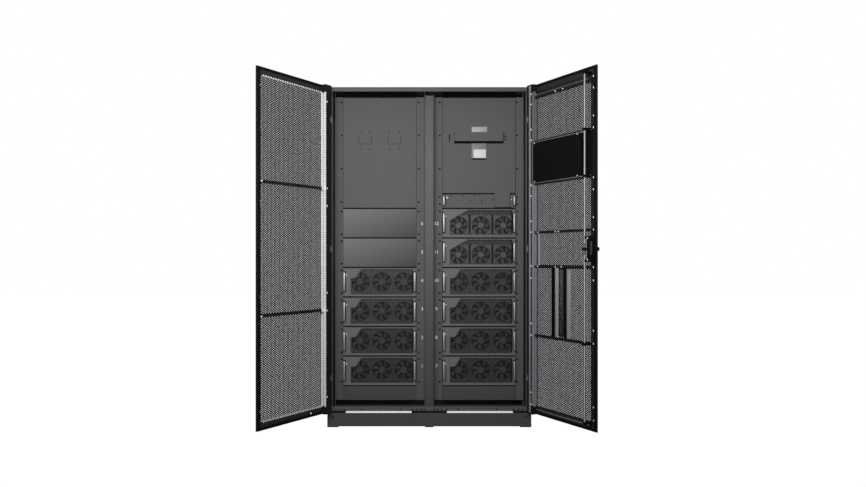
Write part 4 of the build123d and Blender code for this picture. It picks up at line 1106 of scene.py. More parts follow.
def fan_frame(shape, middle, half_w, half_h, bore, depth):
    """Block with a round bore and a bell mouth, from z = 0 up to its depth."""
    angles = [2 * math.pi * (step + 0.5) / RIM_STEPS for step in range(RIM_STEPS)]
    corner_turns = [math.atan2(y, x) % (2 * math.pi) for x, y in
                    ((half_w, half_h), (-half_w, half_h), (-half_w, -half_h), (half_w, -half_h))]
    nearest = {min(range(RIM_STEPS), key=lambda step: abs(angles[step] - turn)): turn
               for turn in corner_turns}
    rim = []
    for step, angle in enumerate(angles):
        turn = nearest.get(step, angle)
        reach = min(half_w / max(abs(math.cos(turn)), 1e-9), half_h / max(abs(math.sin(turn)), 1e-9))
        rim.append((reach * math.cos(turn), reach * math.sin(turn)))

    def ring(points, height):
        return [shape.bm.verts.new((middle[0] + x, middle[1] + y, height)) for x, y in points]

    def circle(radius):
        return [(radius * math.cos(angle), radius * math.sin(angle)) for angle in angles]

    rings = [ring(rim, 0), ring(rim, depth), ring(circle(bore + BELL_MOUTH), depth),
             ring(circle(bore), depth - BELL_MOUTH), ring(circle(bore), 0)]
    for first, second in zip(rings, rings[1:] + rings[:1]):
        for step in range(RIM_STEPS):
            after = (step + 1) % RIM_STEPS
            shape.bm.faces.new((first[step], first[after], second[after], second[step]))


class CABINET_OT_fans(bpy.types.Operator):
    """Fan rotors with swept blades, their hub discs and the frames they turn in"""
    bl_idname = "cabinet.fans"
    bl_label = "Fans"

    def execute(self, context):
        fans = context.scene.cabinet_fans
        back = front_face(TRAY_BACK)
        depth = TRAY_BACK - TRAY_FRONT
        for kind, tray_finish, fan_finish, hub_finish, frame_gap in FAN_LOOKS:
            layout = MODULE_FACES[kind]
            half_w = (layout.fans[1] - layout.fans[0]) / 2 - frame_gap
            shape = Shape()
            centres = []
            for bay, slot, face in module_list():
                if face is not layout:
                    continue
                for u in layout.fans:
                    x, z = slot_point(bay, slot, u, layout.fan_down)
                    centres.append((x, z, 0))
                    top = slot_point(bay, slot, u, layout.top - FAN_LAP)[1]
                    low = slot_point(bay, slot, u, layout.bottom + FAN_LAP)[1]
                    half_h = min(top - z, z - low)
                    fan_frame(shape, (x, z), half_w, half_h, layout.fan_r + BLADE_GAP, depth)
            frames = shape.mesh("frames", back)
            place(f"fan_frames_{kind}", frames, tray_finish, ("fan_trays",))
            values = {"Blades": fans.blades, "Hub": layout.hub_r, "Tip": layout.fan_r,
                      "Depth": depth - ROTOR_BACK, "Span": fans.span, "Sweep": fans.sweep, "Rise": fans.rise,
                      "Thickness": fans.thickness, "Material": FINISHES[fan_finish]}
            rotors = grow(tree_named("fans"), points_mesh(centres), values)
            rotors.transform(back)
            place(f"fan_rotors_{kind}", rotors, fan_finish, ("fan_rotors",))
            fronts = [Vector((x, TRAY_FRONT + ROTOR_BACK, z)) for x, z, height in centres]
            disc = disc_pattern(layout.hub_r * HUB_SHARE, 0.5 * MM, 0.4 * MM, HUB_STEPS)
            place_copies(f"fan_hubs_{kind}", disc, fronts, hub_finish)
        return {"FINISHED"}


BACKING_LAP = 3 * MM
COVER_DOWN = 41 * MM
COVER_T = 2 * MM
COVER_SCREW_DOWN = 30 * MM
COVER_SCREW = (4 * MM, 1.4 * MM)


class CABINET_OT_fan_backing(bpy.types.Operator):
    """Dark sheets behind the fans, painted as the shade inside the modules, and covers above the low fans"""
    bl_idname = "cabinet.fan_backing"
    bl_label = "Fan backing"

    def execute(self, context):
        shape = Shape()
        covers = Shape()
        dots = []
        for bay, slot, face in module_list():
            x0, top = slot_point(bay, slot, face.left - BACKING_LAP, face.top - BACKING_LAP)
            x1, low = slot_point(bay, slot, face.right + BACKING_LAP, face.bottom + BACKING_LAP)
            # Painted shade: a dark sheet behind the fans of each module
            shape.box((x0, TRAY_BACK - 1 * MM, low), (x1, TRAY_BACK - 0.2 * MM, top))
            if face is MODULE_FACES["low"]:
                step = slot_point(bay, slot, 0, COVER_DOWN)[1]
                covers.box((x0, TRAY_FRONT, step), (x1, TRAY_FRONT + COVER_T, top), 0.4 * MM)
                dots += [Vector((x, TRAY_FRONT, z)) for x, z in
                         (slot_point(bay, slot, u, COVER_SCREW_DOWN) for u in face.fans[1:])]
        place("fan_backs", shape, "line_dark")
        place("fan_covers", covers, "cover_dark")
        place_copies("fan_cover_screws", screw_pattern(*COVER_SCREW), dots, "low_hub")
        return {"FINISHED"}


# Dark gaps and lines of the rack, painted as shade

GAP_UNDER = 7 * MM
GAP_OVER = 6 * MM
GAP_SIDE = 8 * MM
TOP_GAP_SIDE = 1 * MM
ROOF_SHEET = 3.2 * MM


class CABINET_OT_gap_backing(bpy.types.Operator):
    """Black strips behind the gaps between the panels of the rack and above them: painted shade that stands for
    the dark inside of the rack and keeps light from showing through
    """
    bl_idname = "cabinet.gap_backing"
    bl_label = "Gap backing"

    def execute(self, context):
        shape = Shape()
        y0 = PANEL_BACK + 1.6 * MM
        y1 = PANEL_BACK + 3 * MM
        for bay, left in BAY_LEFT.items():
            right = left + PANEL_W
            gaps = [SLOTS_LOW + slot * SLOT_PITCH for slot in range(SLOTS + 1)]
            spans = [(z - GAP_UNDER, z + GAP_OVER) for z in gaps]
            if bay == "right":
                spans[-1] = (SLOTS_TOP - GAP_UNDER, CONTROL_TOP + GAP_OVER)
            for low, high in spans:
                shape.box((left + GAP_SIDE, y0, low), (right - GAP_SIDE, y1, high))
            shape.box((left + TOP_GAP_SIDE, y0, RACK_TOP - GAP_UNDER),
                      (right - TOP_GAP_SIDE, y1, CAB_TOP - ROOF_SHEET))
        place("gap_backing", shape, "hole_black")
        return {"FINISHED"}


LINE_OUT = 0.3 * MM
LINE_UNDER = 6.5 * MM
LINE_OVER = 2 * MM
LOWEST_LINE_UNDER = 3 * MM

# Lines of painted shade in millimetres, standing for the shaded gaps: cable flaps, control unit, and the panels'
# upright edges as middle and width
FLAP_X = ((-424, -347), (-250, -172))
FLAP_Z = (1682, 1730)
FLAP_LINE_HALF = 0.8
CONTROL_LINES = ((79, 393), (485, 519))
CONTROL_JOINTS = (393.6, 487.8)
JOINT_HALF = 0.7
EDGE_LINES = ((-518.6, 0.8), (-78.5, 2.0), (78.5, 2.0), (518.6, 1.6))


class CABINET_OT_panel_lines(bpy.types.Operator):
    """Dark lines on the rack face at the edges of the panels, the modules and the cable flaps, painted as the
    shade in their gaps
    """
    bl_idname = "cabinet.panel_lines"
    bl_label = "Panel lines"

    def execute(self, context):
        shape = Shape()

        def line(x0, x1, z0, z1):
            shape.box((x0, RACK_Y - LINE_OUT, z0), (x1, RACK_Y, z1))

        for left in BAY_LEFT.values():
            for slot in range(SLOTS + 1):
                z = SLOTS_LOW + slot * SLOT_PITCH
                high = z - LOWEST_LINE_UNDER if slot == 0 else z + LINE_OVER
                line(left, left + PANEL_W, z - LINE_UNDER, high)
        for x0, x1 in CONTROL_LINES:
            line(x0 * MM, x1 * MM, CONTROL_TOP - LINE_UNDER, CONTROL_TOP + LINE_OVER)
        for x in CONTROL_JOINTS:
            line((x - JOINT_HALF) * MM, (x + JOINT_HALF) * MM, SLOTS_TOP + 3 * MM, CONTROL_TOP - LINE_UNDER)
        for middle, width in EDGE_LINES:
            line((middle - width / 2) * MM, (middle + width / 2) * MM, SLOTS_LOW, RACK_TOP - 1 * MM)
        z0, z1 = FLAP_Z
        half = FLAP_LINE_HALF
        for x0, x1 in FLAP_X:
            line(x0 * MM, x1 * MM, (z0 - half) * MM, (z0 + half) * MM)
            for x in (x0, x1):
                line((x - half) * MM, (x + half) * MM, (z0 + half) * MM, z1 * MM)
        place("panel_lines", shape, "line_dark")
        return {"FINISHED"}


def edge_steps(first, last, pitch):
    """Evenly spaced points along one straight edge, clear of its ends."""
    first = Vector(first)
    way = Vector(last) - first
    count = int(way.length / pitch)
    return [first + way * (step + 0.5) / count for step in range(count)]


TOOTH_PITCH = 14.2 * MM
TOOTH_HALF_W = 3.8 * MM
TOOTH_HALF_H = 5.4 * MM
EDGE_DEEP = 7 * MM


class CABINET_OT_grille_teeth(bpy.types.Operator):
    """Short webs along the edges of the grille openings, and dark strips behind them painted as the shade along
    the openings' edges
    """
    bl_idname = "cabinet.grille_teeth"
    bl_label = "Grille teeth"

    def execute(self, context):
        tooth = Shape()
        tooth.box((-TOOTH_HALF_W, -TOOTH_HALF_H, -2 * MM), (TOOTH_HALF_W, TOOTH_HALF_H, -0.2 * MM))
        points = []
        gaps = Shape()
        for bay, slot, face in module_list():
            x0, top = slot_point(bay, slot, face.left, face.top)
            x1, low = slot_point(bay, slot, face.right, face.bottom)
            upper = slot_point(bay, slot, face.cut[-1][0], 0)[0]
            # Dark strips of painted shade along the upper, lower and right edges of the opening
            for first, last, z0, z1 in ((upper, x1, top - EDGE_DEEP, top), (x0, x1, low, low + EDGE_DEEP),
                                        (x1 - EDGE_DEEP, x1, low + EDGE_DEEP, top - EDGE_DEEP)):
                gaps.box((first, PANEL_BACK - 1 * MM, z0), (last, PANEL_BACK - 0.2 * MM, z1))
            corners = face.outline()
            for start, end in zip(corners, corners[1:] + corners[:1]):
                if start[0] == end[0]:
                    continue
                points += [on_rack(*slot_point(bay, slot, u, down))
                           for u, down in edge_steps(start, end, TOOTH_PITCH)]
        place_copies("grille_teeth", tooth.mesh("tooth"), points, "bezel_paint")
        place("grille_edges", gaps, "line_dark")
        return {"FINISHED"}


NOTCH_W = 17 * MM
NOTCH_HALF = 63.5 * MM
NOTCH_CHAMFER = 7 * MM
NOTCH_NEAR = 0.5 * MM
CONTROL_NOTCH_HALF = 31 * MM
CONTROL_NOTCH_NEAR = 2 * MM


class CABINET_OT_handle_recesses(bpy.types.Operator):
    """Black floors of the recesses behind the pull handles, painted as the shade in the recesses"""
    bl_idname = "cabinet.handle_recesses"
    bl_label = "Handle recesses"

    def execute(self, context):
        shape = Shape()
        inner = NOTCH_W - NOTCH_CHAMFER

        def floor(bay, middle_z, half, near, low, high):
            """Plate with two cut corners on the side that faces the panel's middle."""
            cut = half - NOTCH_CHAMFER
            outline = [(near, -half), (inner, -half), (NOTCH_W, -cut),
                       (NOTCH_W, cut), (inner, half), (near, half)]
            for edge, way in ((0.0, 1), (PANEL_W, -1)):
                shape.prism([(BAY_LEFT[bay] + edge + way * u, middle_z + z) for u, z in outline], low, high)

        for bay in SLOT_KINDS:
            for slot in SLOT_KINDS[bay]:
                middle_z = slot_point(bay, slot, 0, SLOT_PITCH / 2)[1]
                floor(bay, middle_z, NOTCH_HALF, NOTCH_NEAR, -NOTCH_DEEP, -NOTCH_DEEP + 0.5 * MM)
        low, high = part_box("control_handles")
        # The control unit's floor lies on the face itself, a flat black patch of painted shade
        floor("right", (low.z + high.z) / 2, CONTROL_NOTCH_HALF, CONTROL_NOTCH_NEAR, 0.0, LINE_OUT)
        place("handle_recesses", shape.mesh("recesses", RACK_FACE), "hole_black")
        return {"FINISHED"}


# Handles and small pieces on the rack

HANDLE_OUT = 24 * MM
HANDLE_BAR = 8 * MM
HANDLE_LEG = 10 * MM
HANDLE_HALF_W = 5 * MM
HANDLE_ROUND = 1.6 * MM


def handle_pattern(height, foot):
    """Pull handle with rounded edges: a flat bar on two legs. Z looks out, foot is the depth of its feet."""
    inside = HANDLE_OUT - HANDLE_BAR
    half = height / 2
    gap = half - HANDLE_LEG
    outline = [(-foot, -half), (HANDLE_OUT, -half), (HANDLE_OUT, half), (-foot, half),
               (-foot, gap), (inside, gap), (inside, -gap), (-foot, -gap)]
    shape = Shape()
    shape.prism(outline, -HANDLE_HALF_W, HANDLE_HALF_W, HANDLE_ROUND)
    turn = face_matrix(Vector((0, 0, 0)), AXIS_Z, Vector((0, 1, 0)))
    return shape.mesh("handle", turn)


class CABINET_OT_handles(bpy.types.Operator):
    """Pull handles of the modules and of the control unit"""
    bl_idname = "cabinet.handles"
    bl_label = "Handles"

    def execute(self, context):
        rows = []
        for bay in SLOT_KINDS:
            points = [on_rack(*slot_point(bay, slot, u, SLOT_PITCH / 2))
                      for slot in SLOT_KINDS[bay] for u in HANDLE_PLACES]
            rows.append((bay, HANDLE_HEIGHT["module"], NOTCH_DEEP, points, f"module_handles_{bay}"))
        low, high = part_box("control_handles")
        points = [on_rack(BAY_LEFT["right"] + u, (low.z + high.z) / 2) for u in HANDLE_PLACES]
        rows.append(("control", HANDLE_HEIGHT["control"], 0.0, points, "control_handles"))
        for part, height, foot, points, node in rows:
            pattern = handle_pattern(height, foot)
            place_copies(f"handles_{part}", pattern, points, "handle_grey", replaces=(node,))
        return {"FINISHED"}


RAIL_HOLE_X = (63 * MM, 528 * MM)
PAIR_HALF = 68.8 * MM
UPPER_HOLE_FIRST = 27 * MM
UPPER_HOLE_PITCH = 200 * MM
CONTROL_HOLE_Z = (1363 * MM, 1319 * MM)


def rail_hole_points():
    """Screw places on the rack rails: long steps beside the upper panels, a pair beside every slot."""
    points = []
    for sign in (-1, 1):
        uppers = [RACK_TOP - UPPER_HOLE_FIRST - step * UPPER_HOLE_PITCH for step in range(4)]
        if sign > 0:
            uppers = uppers[:3] + list(CONTROL_HOLE_Z)
        middles = [SLOTS_LOW + (slot + 0.5) * SLOT_PITCH for slot in range(SLOTS)]
        heights = uppers + [middle + half for middle in middles for half in (PAIR_HALF, -PAIR_HALF)]
        points += [on_rack(sign * x, z) for x in RAIL_HOLE_X for z in heights]
    return points


# Small screws in millimetres: of the flaps from the left panel's corner, of the control unit from its top
FLAP_MIDDLES = (132, 308)
FLAP_SCREW_HALF = 30
FLAP_SCREWS_DOWN = (209, 307)
CONTROL_SCREWS = ((134.6, 12), (202.8, 12), (270.9, 12), (176.4, 46), (244.4, 46), (313, 46),
                  (316, 62), (338, 49), (382, 37))
STUD_PLACE = (495 * MM, 1347 * MM)
STUD = (3.2 * MM, 1.6 * MM)
RAIL_SCREW_H = 1.6 * MM
SMALL_SCREW_H = 1 * MM


class CABINET_OT_rack_screws(bpy.types.Operator):
    """Black screws in the rack rails and small screws on the panels"""
    bl_idname = "cabinet.rack_screws"
    bl_label = "Rack screws"

    def execute(self, context):
        sizes = context.scene.cabinet_fasteners
        rails = repeat(screw_pattern(sizes.rack_screw, RAIL_SCREW_H), rail_hole_points(), "hole_black")
        flaps = [on_rack(BAY_LEFT["left"] + (middle + side * FLAP_SCREW_HALF) * MM, RACK_TOP - down * MM)
                 for middle in FLAP_MIDDLES for side in (-1, 1) for down in FLAP_SCREWS_DOWN]
        control = [on_rack(x * MM, CONTROL_TOP - down * MM) for x, down in CONTROL_SCREWS]
        small = repeat(screw_pattern(sizes.small_screw, SMALL_SCREW_H), flaps + control, "hole_black")
        place("rack_screws", join_meshes("screws", [rails, small]), "hole_black")
        stud = screw_pattern(*STUD)
        place_copies("control_stud", stud, [on_rack(*STUD_PLACE)], "bright_steel")
        return {"FINISHED"}


NUMBER_X = 43 * MM
NUMBER_LOW_Z = 344 * MM
NUMBER_PITCH = 171.5 * MM
INK_HEIGHT = 0.15 * MM
INK_SPREAD = 0.35 * MM


def number_mesh(number, size):
    """Raised number, centred on the origin."""
    words = bpy.data.curves.new("number", "FONT")
    words.body = str(number)
    words.size = size
    words.extrude = INK_HEIGHT
    words.offset = INK_SPREAD
    words.resolution_u = 4
    words.align_x = "CENTER"
    words.align_y = "CENTER"
    holder = bpy.data.objects.new("number", words)
    bpy.context.scene.collection.objects.link(holder)
    graph = bpy.context.evaluated_depsgraph_get()
    mesh = bpy.data.meshes.new_from_object(holder.evaluated_get(graph))
    bpy.data.objects.remove(holder)
    bpy.data.curves.remove(words)
    return mesh


class CABINET_OT_slot_numbers(bpy.types.Operator):
    """Plain slot numbers on the strips beside the centre post"""
    bl_idname = "cabinet.slot_numbers"
    bl_label = "Slot numbers"

    def execute(self, context):
        size = context.scene.cabinet_fasteners.number_size
        meshes = []
        for sign, first in ((-1, 1), (1, SLOTS + 1)):
            for slot in range(SLOTS):
                mesh = number_mesh(first + slot, size)
                spot = Matrix.Translation((sign * NUMBER_X, NUMBER_LOW_Z + slot * NUMBER_PITCH, INK_HEIGHT))
                mesh.transform(RACK_FACE @ spot)
                meshes.append(mesh)
        place("slot_numbers", join_meshes("numbers", meshes), "number_ink")
        return {"FINISHED"}


LAMP_U = 20 * MM
LAMP_DOWN = 49 * MM
LAMP_H = 0.8 * MM
LAMP_DOME = 0.8 * MM


class CABINET_OT_lamps(bpy.types.Operator):
    """Green lamps of the modules"""
    bl_idname = "cabinet.lamps"
    bl_label = "Lamps"

    def execute(self, context):
        points = [on_rack(*slot_point(bay, slot, LAMP_U, LAMP_DOWN)) for bay, slot, face in module_list()]
        lens = disc_pattern(context.scene.cabinet_fasteners.lamp, LAMP_H, LAMP_DOME)
        place_copies("module_lamps", lens, points, "lamp_green")
        return {"FINISHED"}


LABEL_X = (255.5 * MM, 348.5 * MM)
LABEL_H = 34 * MM
LABEL_T = 1.2 * MM
FACING_T = 0.8 * MM
CARD_X = (267 * MM, 341 * MM)
CARD_UP = (3 * MM, 53 * MM)
CARD_T = 0.5 * MM
# Painted shadows under the switch guard and the switch plate: how far they stand out, and the plate's shadow
# height
SHADOW_OUT = 0.4 * MM
SHADOW_H = 7 * MM
# Slots painted black as their shade, in millimetres: from and to across, from and to up, how far they stand out,
# bevel
SHADED_SLOTS = ((118.5, 124.5, 1696, 1742, 0.4, 0.4), (457, 465, 1703.9, 1711.9, 0.5, 0.4),
              (457, 465, 1723.7, 1731.7, 0.5, 0.4), (395, 499, 1296.2, 1301, 0.4, 0.0))
CAP_SHARE = 0.9
COLLAR_SHARE = 1.3
BUTTON_STEPS = 32


class CABINET_OT_bypass_details(bpy.types.Operator):
    """Bare plates, slots painted black as their shade, painted shadows under the switch guard and plate, and the
    push button of the right bay's upper panels
    """
    bl_idname = "cabinet.bypass_details"
    bl_label = "Bypass details"

    def execute(self, context):
        guard_low, guard_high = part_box("switch_guard")
        plate_low, plate_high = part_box("switch_plate")
        facing_y = plate_low.y - FACING_T
        plates = (
            ("bare_label", "label_light", LABEL_X, (RACK_Y - LABEL_T, RACK_Y),
             (guard_high.z, guard_high.z + LABEL_H), 0.5 * MM),
            ("bare_facing", "plate_light", (plate_low.x, plate_high.x), (facing_y, plate_low.y),
             (plate_low.z, plate_high.z), 0.35 * MM),
            ("bare_card", "card_white", CARD_X, (facing_y - CARD_T, facing_y),
             [plate_low.z + up for up in CARD_UP], 0.2 * MM),
        )
        for name, finish_name, across, depth, height, bevel in plates:
            plate = Shape()
            low, high = zip(across, depth, height)
            plate.box(low, high, bevel)
            place(name, plate, finish_name)
        # Painted shade: a black strip under the switch guard, a shadow under the switch plate, and the slots
        dark = Shape()
        front = RACK_Y - SHADOW_OUT
        dark.box((guard_low.x + 1 * MM, front, plate_high.z), (guard_high.x - 1 * MM, RACK_Y, guard_low.z))
        dark.box((plate_low.x, front, plate_low.z - SHADOW_H), (plate_high.x, RACK_Y, plate_low.z))
        for x0, x1, z0, z1, out, bevel in SHADED_SLOTS:
            dark.box((x0 * MM, RACK_Y - out * MM, z0 * MM), (x1 * MM, RACK_Y, z1 * MM), bevel * MM)
        place("dark_slots", dark, "hole_black")
        low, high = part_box("control_button")
        middle = (low + high) / 2
        radius = (high.x - low.x) / 2
        spot = [on_rack(middle.x, middle.z)]
        cap = disc_pattern(radius * CAP_SHARE, 3.4 * MM, 2.2 * MM, BUTTON_STEPS)
        place_copies("push_button", cap, spot, "button_red", replaces=("control_button",))
        collar = disc_pattern(radius * COLLAR_SHARE, 1.2 * MM, 0.0, BUTTON_STEPS)
        place_copies("button_collar", collar, spot, "line_dark")
        return {"FINISHED"}


# Base, shell and rear

SLIT_X = (104 * MM, 491 * MM)
SLIT_Y = (FRONT_Y + 2 * MM, FRONT_Y + 5 * MM)
SLIT_UNDER = 3.5 * MM
LIP_HOLE_X = [x * MM for x in (30, 49, 73, 101, 170, 396, 498, 524, 549)]
LIP_HOLE_Z = 104 * MM
BOLT_X = HALF_W - 33 * MM
BOLT_Z = 59 * MM
BOLT_Y = FRONT_Y + 3 * MM
BOLT = (5.6 * MM, 2.4 * MM)
BOLT_RING = (8.5 * MM, 0.4 * MM, 0.0, 24)
LIP_HOLE = (4.5 * MM, 0.15 * MM, 0.0, 12)
PLINTH_SHEET = 3 * MM
CAP_X = (HALF_W - 2.5 * MM, HALF_W - 0.5 * MM)


class CABINET_OT_base_details(bpy.types.Operator):
    """Pale glowing strips behind the air slits, painted light that stands for the brightness seen through them,
    holes in the base lip painted black as their shade, and bolts and end caps of the plinth
    """
    bl_idname = "cabinet.base_details"
    bl_label = "Base details"

    def execute(self, context):
        low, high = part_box("base_spacers")
        # Painted light: glowing white strips behind the slits stand for the brightness seen through them
        strips = Shape()
        for sign in (-1, 1):
            strips.box((sign * SLIT_X[0], SLIT_Y[0], low.z),
                       (sign * SLIT_X[1], SLIT_Y[1], high.z - SLIT_UNDER))
        place("slit_strips", strips, "painted_light_white")
        holes = [Vector((sign * x, FRONT_Y, LIP_HOLE_Z)) for sign in (-1, 1) for x in LIP_HOLE_X]
        bolts = [Vector((sign * BOLT_X, BOLT_Y, BOLT_Z)) for sign in (-1, 1)]
        # Black discs painted as the shade in the lip's holes
        place_copies("lip_holes", disc_pattern(*LIP_HOLE), holes, "hole_black")
        place_copies("plinth_bolt_rings", disc_pattern(*BOLT_RING), bolts, "line_dark")
        place_copies("plinth_bolts", screw_pattern(*BOLT), bolts, "frame_paint")
        low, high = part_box("plinth_left")
        caps = Shape()
        for sign in (-1, 1):
            for end, edge in ((FRONT_Y, low.y), (BACK_Y, high.y)):
                inward = math.copysign(PLINTH_SHEET, -end)
                caps.box((sign * CAP_X[0], end + inward, low.z + PLINTH_SHEET),
                         (sign * CAP_X[1], edge, high.z - PLINTH_SHEET))
        place("plinth_end_caps", caps, "frame_paint")
        return {"FINISHED"}


REAR_SCREW_ROWS = 7
REAR_SCREW_IN = 16 * MM
REAR_SCREW_H = 2 * MM
ROOF_SCREW_IN = 24 * MM
ROOF_SCREW_R = 4 * MM
ROOF_SCREW_H = 1.2 * MM
CABLE_PLATE_INNER = 99 * MM


class CABINET_OT_shell_screws(bpy.types.Operator):
    """Screws of the rear covers and of the cable plates in the roof"""
    bl_idname = "cabinet.shell_screws"
    bl_label = "Shell screws"

    def execute(self, context):
        points = []
        for side in ("left", "right"):
            low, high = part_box(f"rear_panel_{side}")
            first = low.z + REAR_SCREW_IN
            step = (high.z - low.z - 2 * REAR_SCREW_IN) / (REAR_SCREW_ROWS - 1)
            columns = (low.x + REAR_SCREW_IN, high.x - REAR_SCREW_IN)
            points += [Vector((x, BACK_Y - REAR_SCREW_H, first + step * row))
                       for x in columns for row in range(REAR_SCREW_ROWS)]
        head = screw_pattern(context.scene.cabinet_fasteners.door_screw, REAR_SCREW_H)
        rear = repeat(head, points, "black_plastic", back_face(BACK_Y))
        low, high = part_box("cable_plates")
        inset = ROOF_SCREW_IN
        tops = [Vector((sign * x, y, CAB_TOP - ROOF_SCREW_H)) for sign in (-1, 1)
                for x in (CABLE_PLATE_INNER + inset, high.x - inset) for y in (low.y + inset, high.y - inset)]
        head = screw_pattern(ROOF_SCREW_R, ROOF_SCREW_H)
        roof = repeat(head, tops, "black_plastic", Matrix.Translation((0, 0, CAB_TOP)))
        place("shell_screws", join_meshes("screws", [rear, roof]), "black_plastic")
        return {"FINISHED"}


# Doors

SEAL_T = 4 * MM
SEAL_W = {"left": 15 * MM, "right": 12 * MM}
SEAL_IN = 4 * MM
SEAL_RAIL = 12 * MM
BAR_END = 566 * MM
DISPLAY_V = 36 * MM
TOP_COVER_T = 2 * MM
TOP_COVER_LOW = 1930 * MM

# Cross bars of the left door, and screws of both doors, across and up in millimetres
LEFT_BARS_Z = (1398, 692)
SCREW_Z = {"left": (1901, 1399, 1297, 794, 691, 190),
           "right": (1944, 1884, 1738, 1677, 1416, 1353, 1208, 1144, 948, 879, 617, 549, 217, 148)}
SCREW_FREE_U = {"left": 575, "right": 573}
SCREW_HINGE_U = 49
SCREW_H = 2.2 * MM
LEAF_SCREW = (160, 112)
ON_BAR_REACH = 6
SCREW_SHARE = {"leaf": 1.2, "bar": 0.8, "display": 0.7, "lock": 0.8}
DISPLAY_SCREWS = ((80, 1655), (470, 1655), (80, 1434), (470, 1434))
BAR_SCREWS = ((95, 1143), (262, 1143), (290, 1143), (95, 947), (262, 947), (316, 947),
              (262, 1923), (330, 1923))
LOCK_SCREWS = ((572, 1099), (572, 987))

# Gear case of the lock, and its rod guides as first edge, outer and inner depth
LOCK_U = (566 * MM, 592.5 * MM)
LOCK_V = 50 * MM
LOCK_GUIDES = ((549 * MM, 38 * MM, 50.5 * MM), (560 * MM, LOCK_V, 61 * MM))
LOCK_GUIDE_H = 14 * MM
LOCK_GUIDE_LAP = 1 * MM
LOCK_PLATE_V = (37 * MM, LOCK_V - 1.5 * MM)
LOCK_PLATE_HALF_T = 0.6 * MM
LOCK_PLATE_UP = 38 * MM
LOCK_PLATE_DOWN = 30 * MM

# Cable channel: its edges across and up, then spans from those edges
CHANNEL_U = (228 * MM, 340 * MM)
CHANNEL_Z = (555 * MM, 940 * MM)
CHANNEL_T = 2 * MM
CHANNEL_WALL = (19 * MM, 30 * MM)
CHANNEL_RAIL = (31 * MM, 61 * MM)
CHANNEL_SHEET = 69 * MM
CHANNEL_SHEET_END = 10 * MM
CHANNEL_SHEET_IN = 8 * MM
CHANNEL_HOLE_SHARE = 1.3
TRIM_U = (347 * MM, 382 * MM)
TRIM_T = 1.2 * MM

# Zinc lines of the right door: from and to across, depth, thickness, from and to up, bevel
LINING_BOXES = (
    (28 * MM, 44 * MM, DOOR_T, 0.8 * MM, DOOR_LOW + 8 * MM, CAB_TOP - 8 * MM, 0.2 * MM),
    (HINGE_STILE, 540 * MM, LEAF_T, 1.2 * MM, 116.5 * MM, 119.5 * MM, 0.3 * MM),
    (HINGE_STILE, BAR_END, BAR_V, 2 * MM, 1660 * MM, 1664 * MM, 0.4 * MM),
    (HINGE_STILE, BAR_END, BAR_V, 2 * MM, 1426 * MM, 1430 * MM, 0.4 * MM),
)

# Rows of tabs: heights in millimetres, half height of a tab, depth of the row, finish
TAB_ROWS = {"left": ((1955.5, 134.5), 3.5 * MM, LEAF_T, "tab_white"),
            "right": ((1938,), 1.5 * MM, LEAF_T + TOP_COVER_T, "dull_zinc")}
TAB_HALF_W = 5.5 * MM
TAB_PITCH = 19 * MM
TAB_FIRST = HINGE_STILE + 8 * MM

# Thin faces of the rails, from and to up in millimetres, and brackets of the cross bars
RAIL_FACES_Z = {"left": ((1960, 1983), (107.5, 130)), "right": ((1958, 1983), (107.5, 115.5), (120.5, 133))}
RAIL_FACE_T = 0.6 * MM
RAIL_FACE_END = 2 * MM
BRACKET_U = (HINGE_STILE + 1 * MM, HINGE_STILE + 18 * MM)
BRACKET_T = 9 * MM
BRACKET_HALF_H = 10 * MM


def door_seal(door):
    """Rubber strips along the inner edges of a door's leaf."""
    shape = Shape()
    free_u = DOOR_W - SEAL_IN
    inner_u = free_u - SEAL_W[door.side]
    top = CAB_TOP - SEAL_IN
    low = DOOR_LOW + SEAL_IN
    for u0, u1, z0, z1 in ((inner_u, free_u, low, top), (HINGE_STILE, inner_u, top - SEAL_RAIL, top),
                           (HINGE_STILE, inner_u, low, low + SEAL_RAIL)):
        door.box(shape, u0, u1, LEAF_T, LEAF_T + SEAL_T, z0, z1, 1 * MM)
    door.place(f"{door.side}_door_seal", shape, "black_plastic", "rubber")


def face_screws(door, points, v, radius):
    """Bright screws on the inner side of a door, at one depth."""
    places = [door.at(u * MM, v, z * MM) for u, z in points]
    return repeat(screw_pattern(radius, SCREW_H), places, "tab_white", door.face(v, inward=True))


def door_screws(door, radius):
    """Bright screws down both stiles of a door and on its inner pieces."""
    heights = SCREW_Z[door.side]
    free_u = SCREW_FREE_U[door.side]
    on_bar = []
    if door.side == "left":
        on_bar = [z for z in heights if min(abs(z - bar) for bar in LEFT_BARS_Z) < ON_BAR_REACH]
    rows = [([(SCREW_HINGE_U, z) for z in heights], DOOR_T, 1.0),
            ([(free_u, z) for z in heights if z not in on_bar], LEAF_T, 1.0)]
    if door.side == "left":
        rows += [([(free_u, z) for z in on_bar], BAR_V, 1.0), ([LEAF_SCREW], LEAF_T, SCREW_SHARE["leaf"])]
    else:
        rows += [(BAR_SCREWS, BAR_V, SCREW_SHARE["bar"]), (DISPLAY_SCREWS, DISPLAY_V, SCREW_SHARE["display"]),
                 (LOCK_SCREWS, LOCK_V, SCREW_SHARE["lock"])]
    meshes = [face_screws(door, points, v, radius * share) for points, v, share in rows]
    mesh = join_meshes("screws", meshes)
    mesh.transform(door.opened)
    place(f"{door.side}_door_screws", mesh, "tab_white", body=door.body)


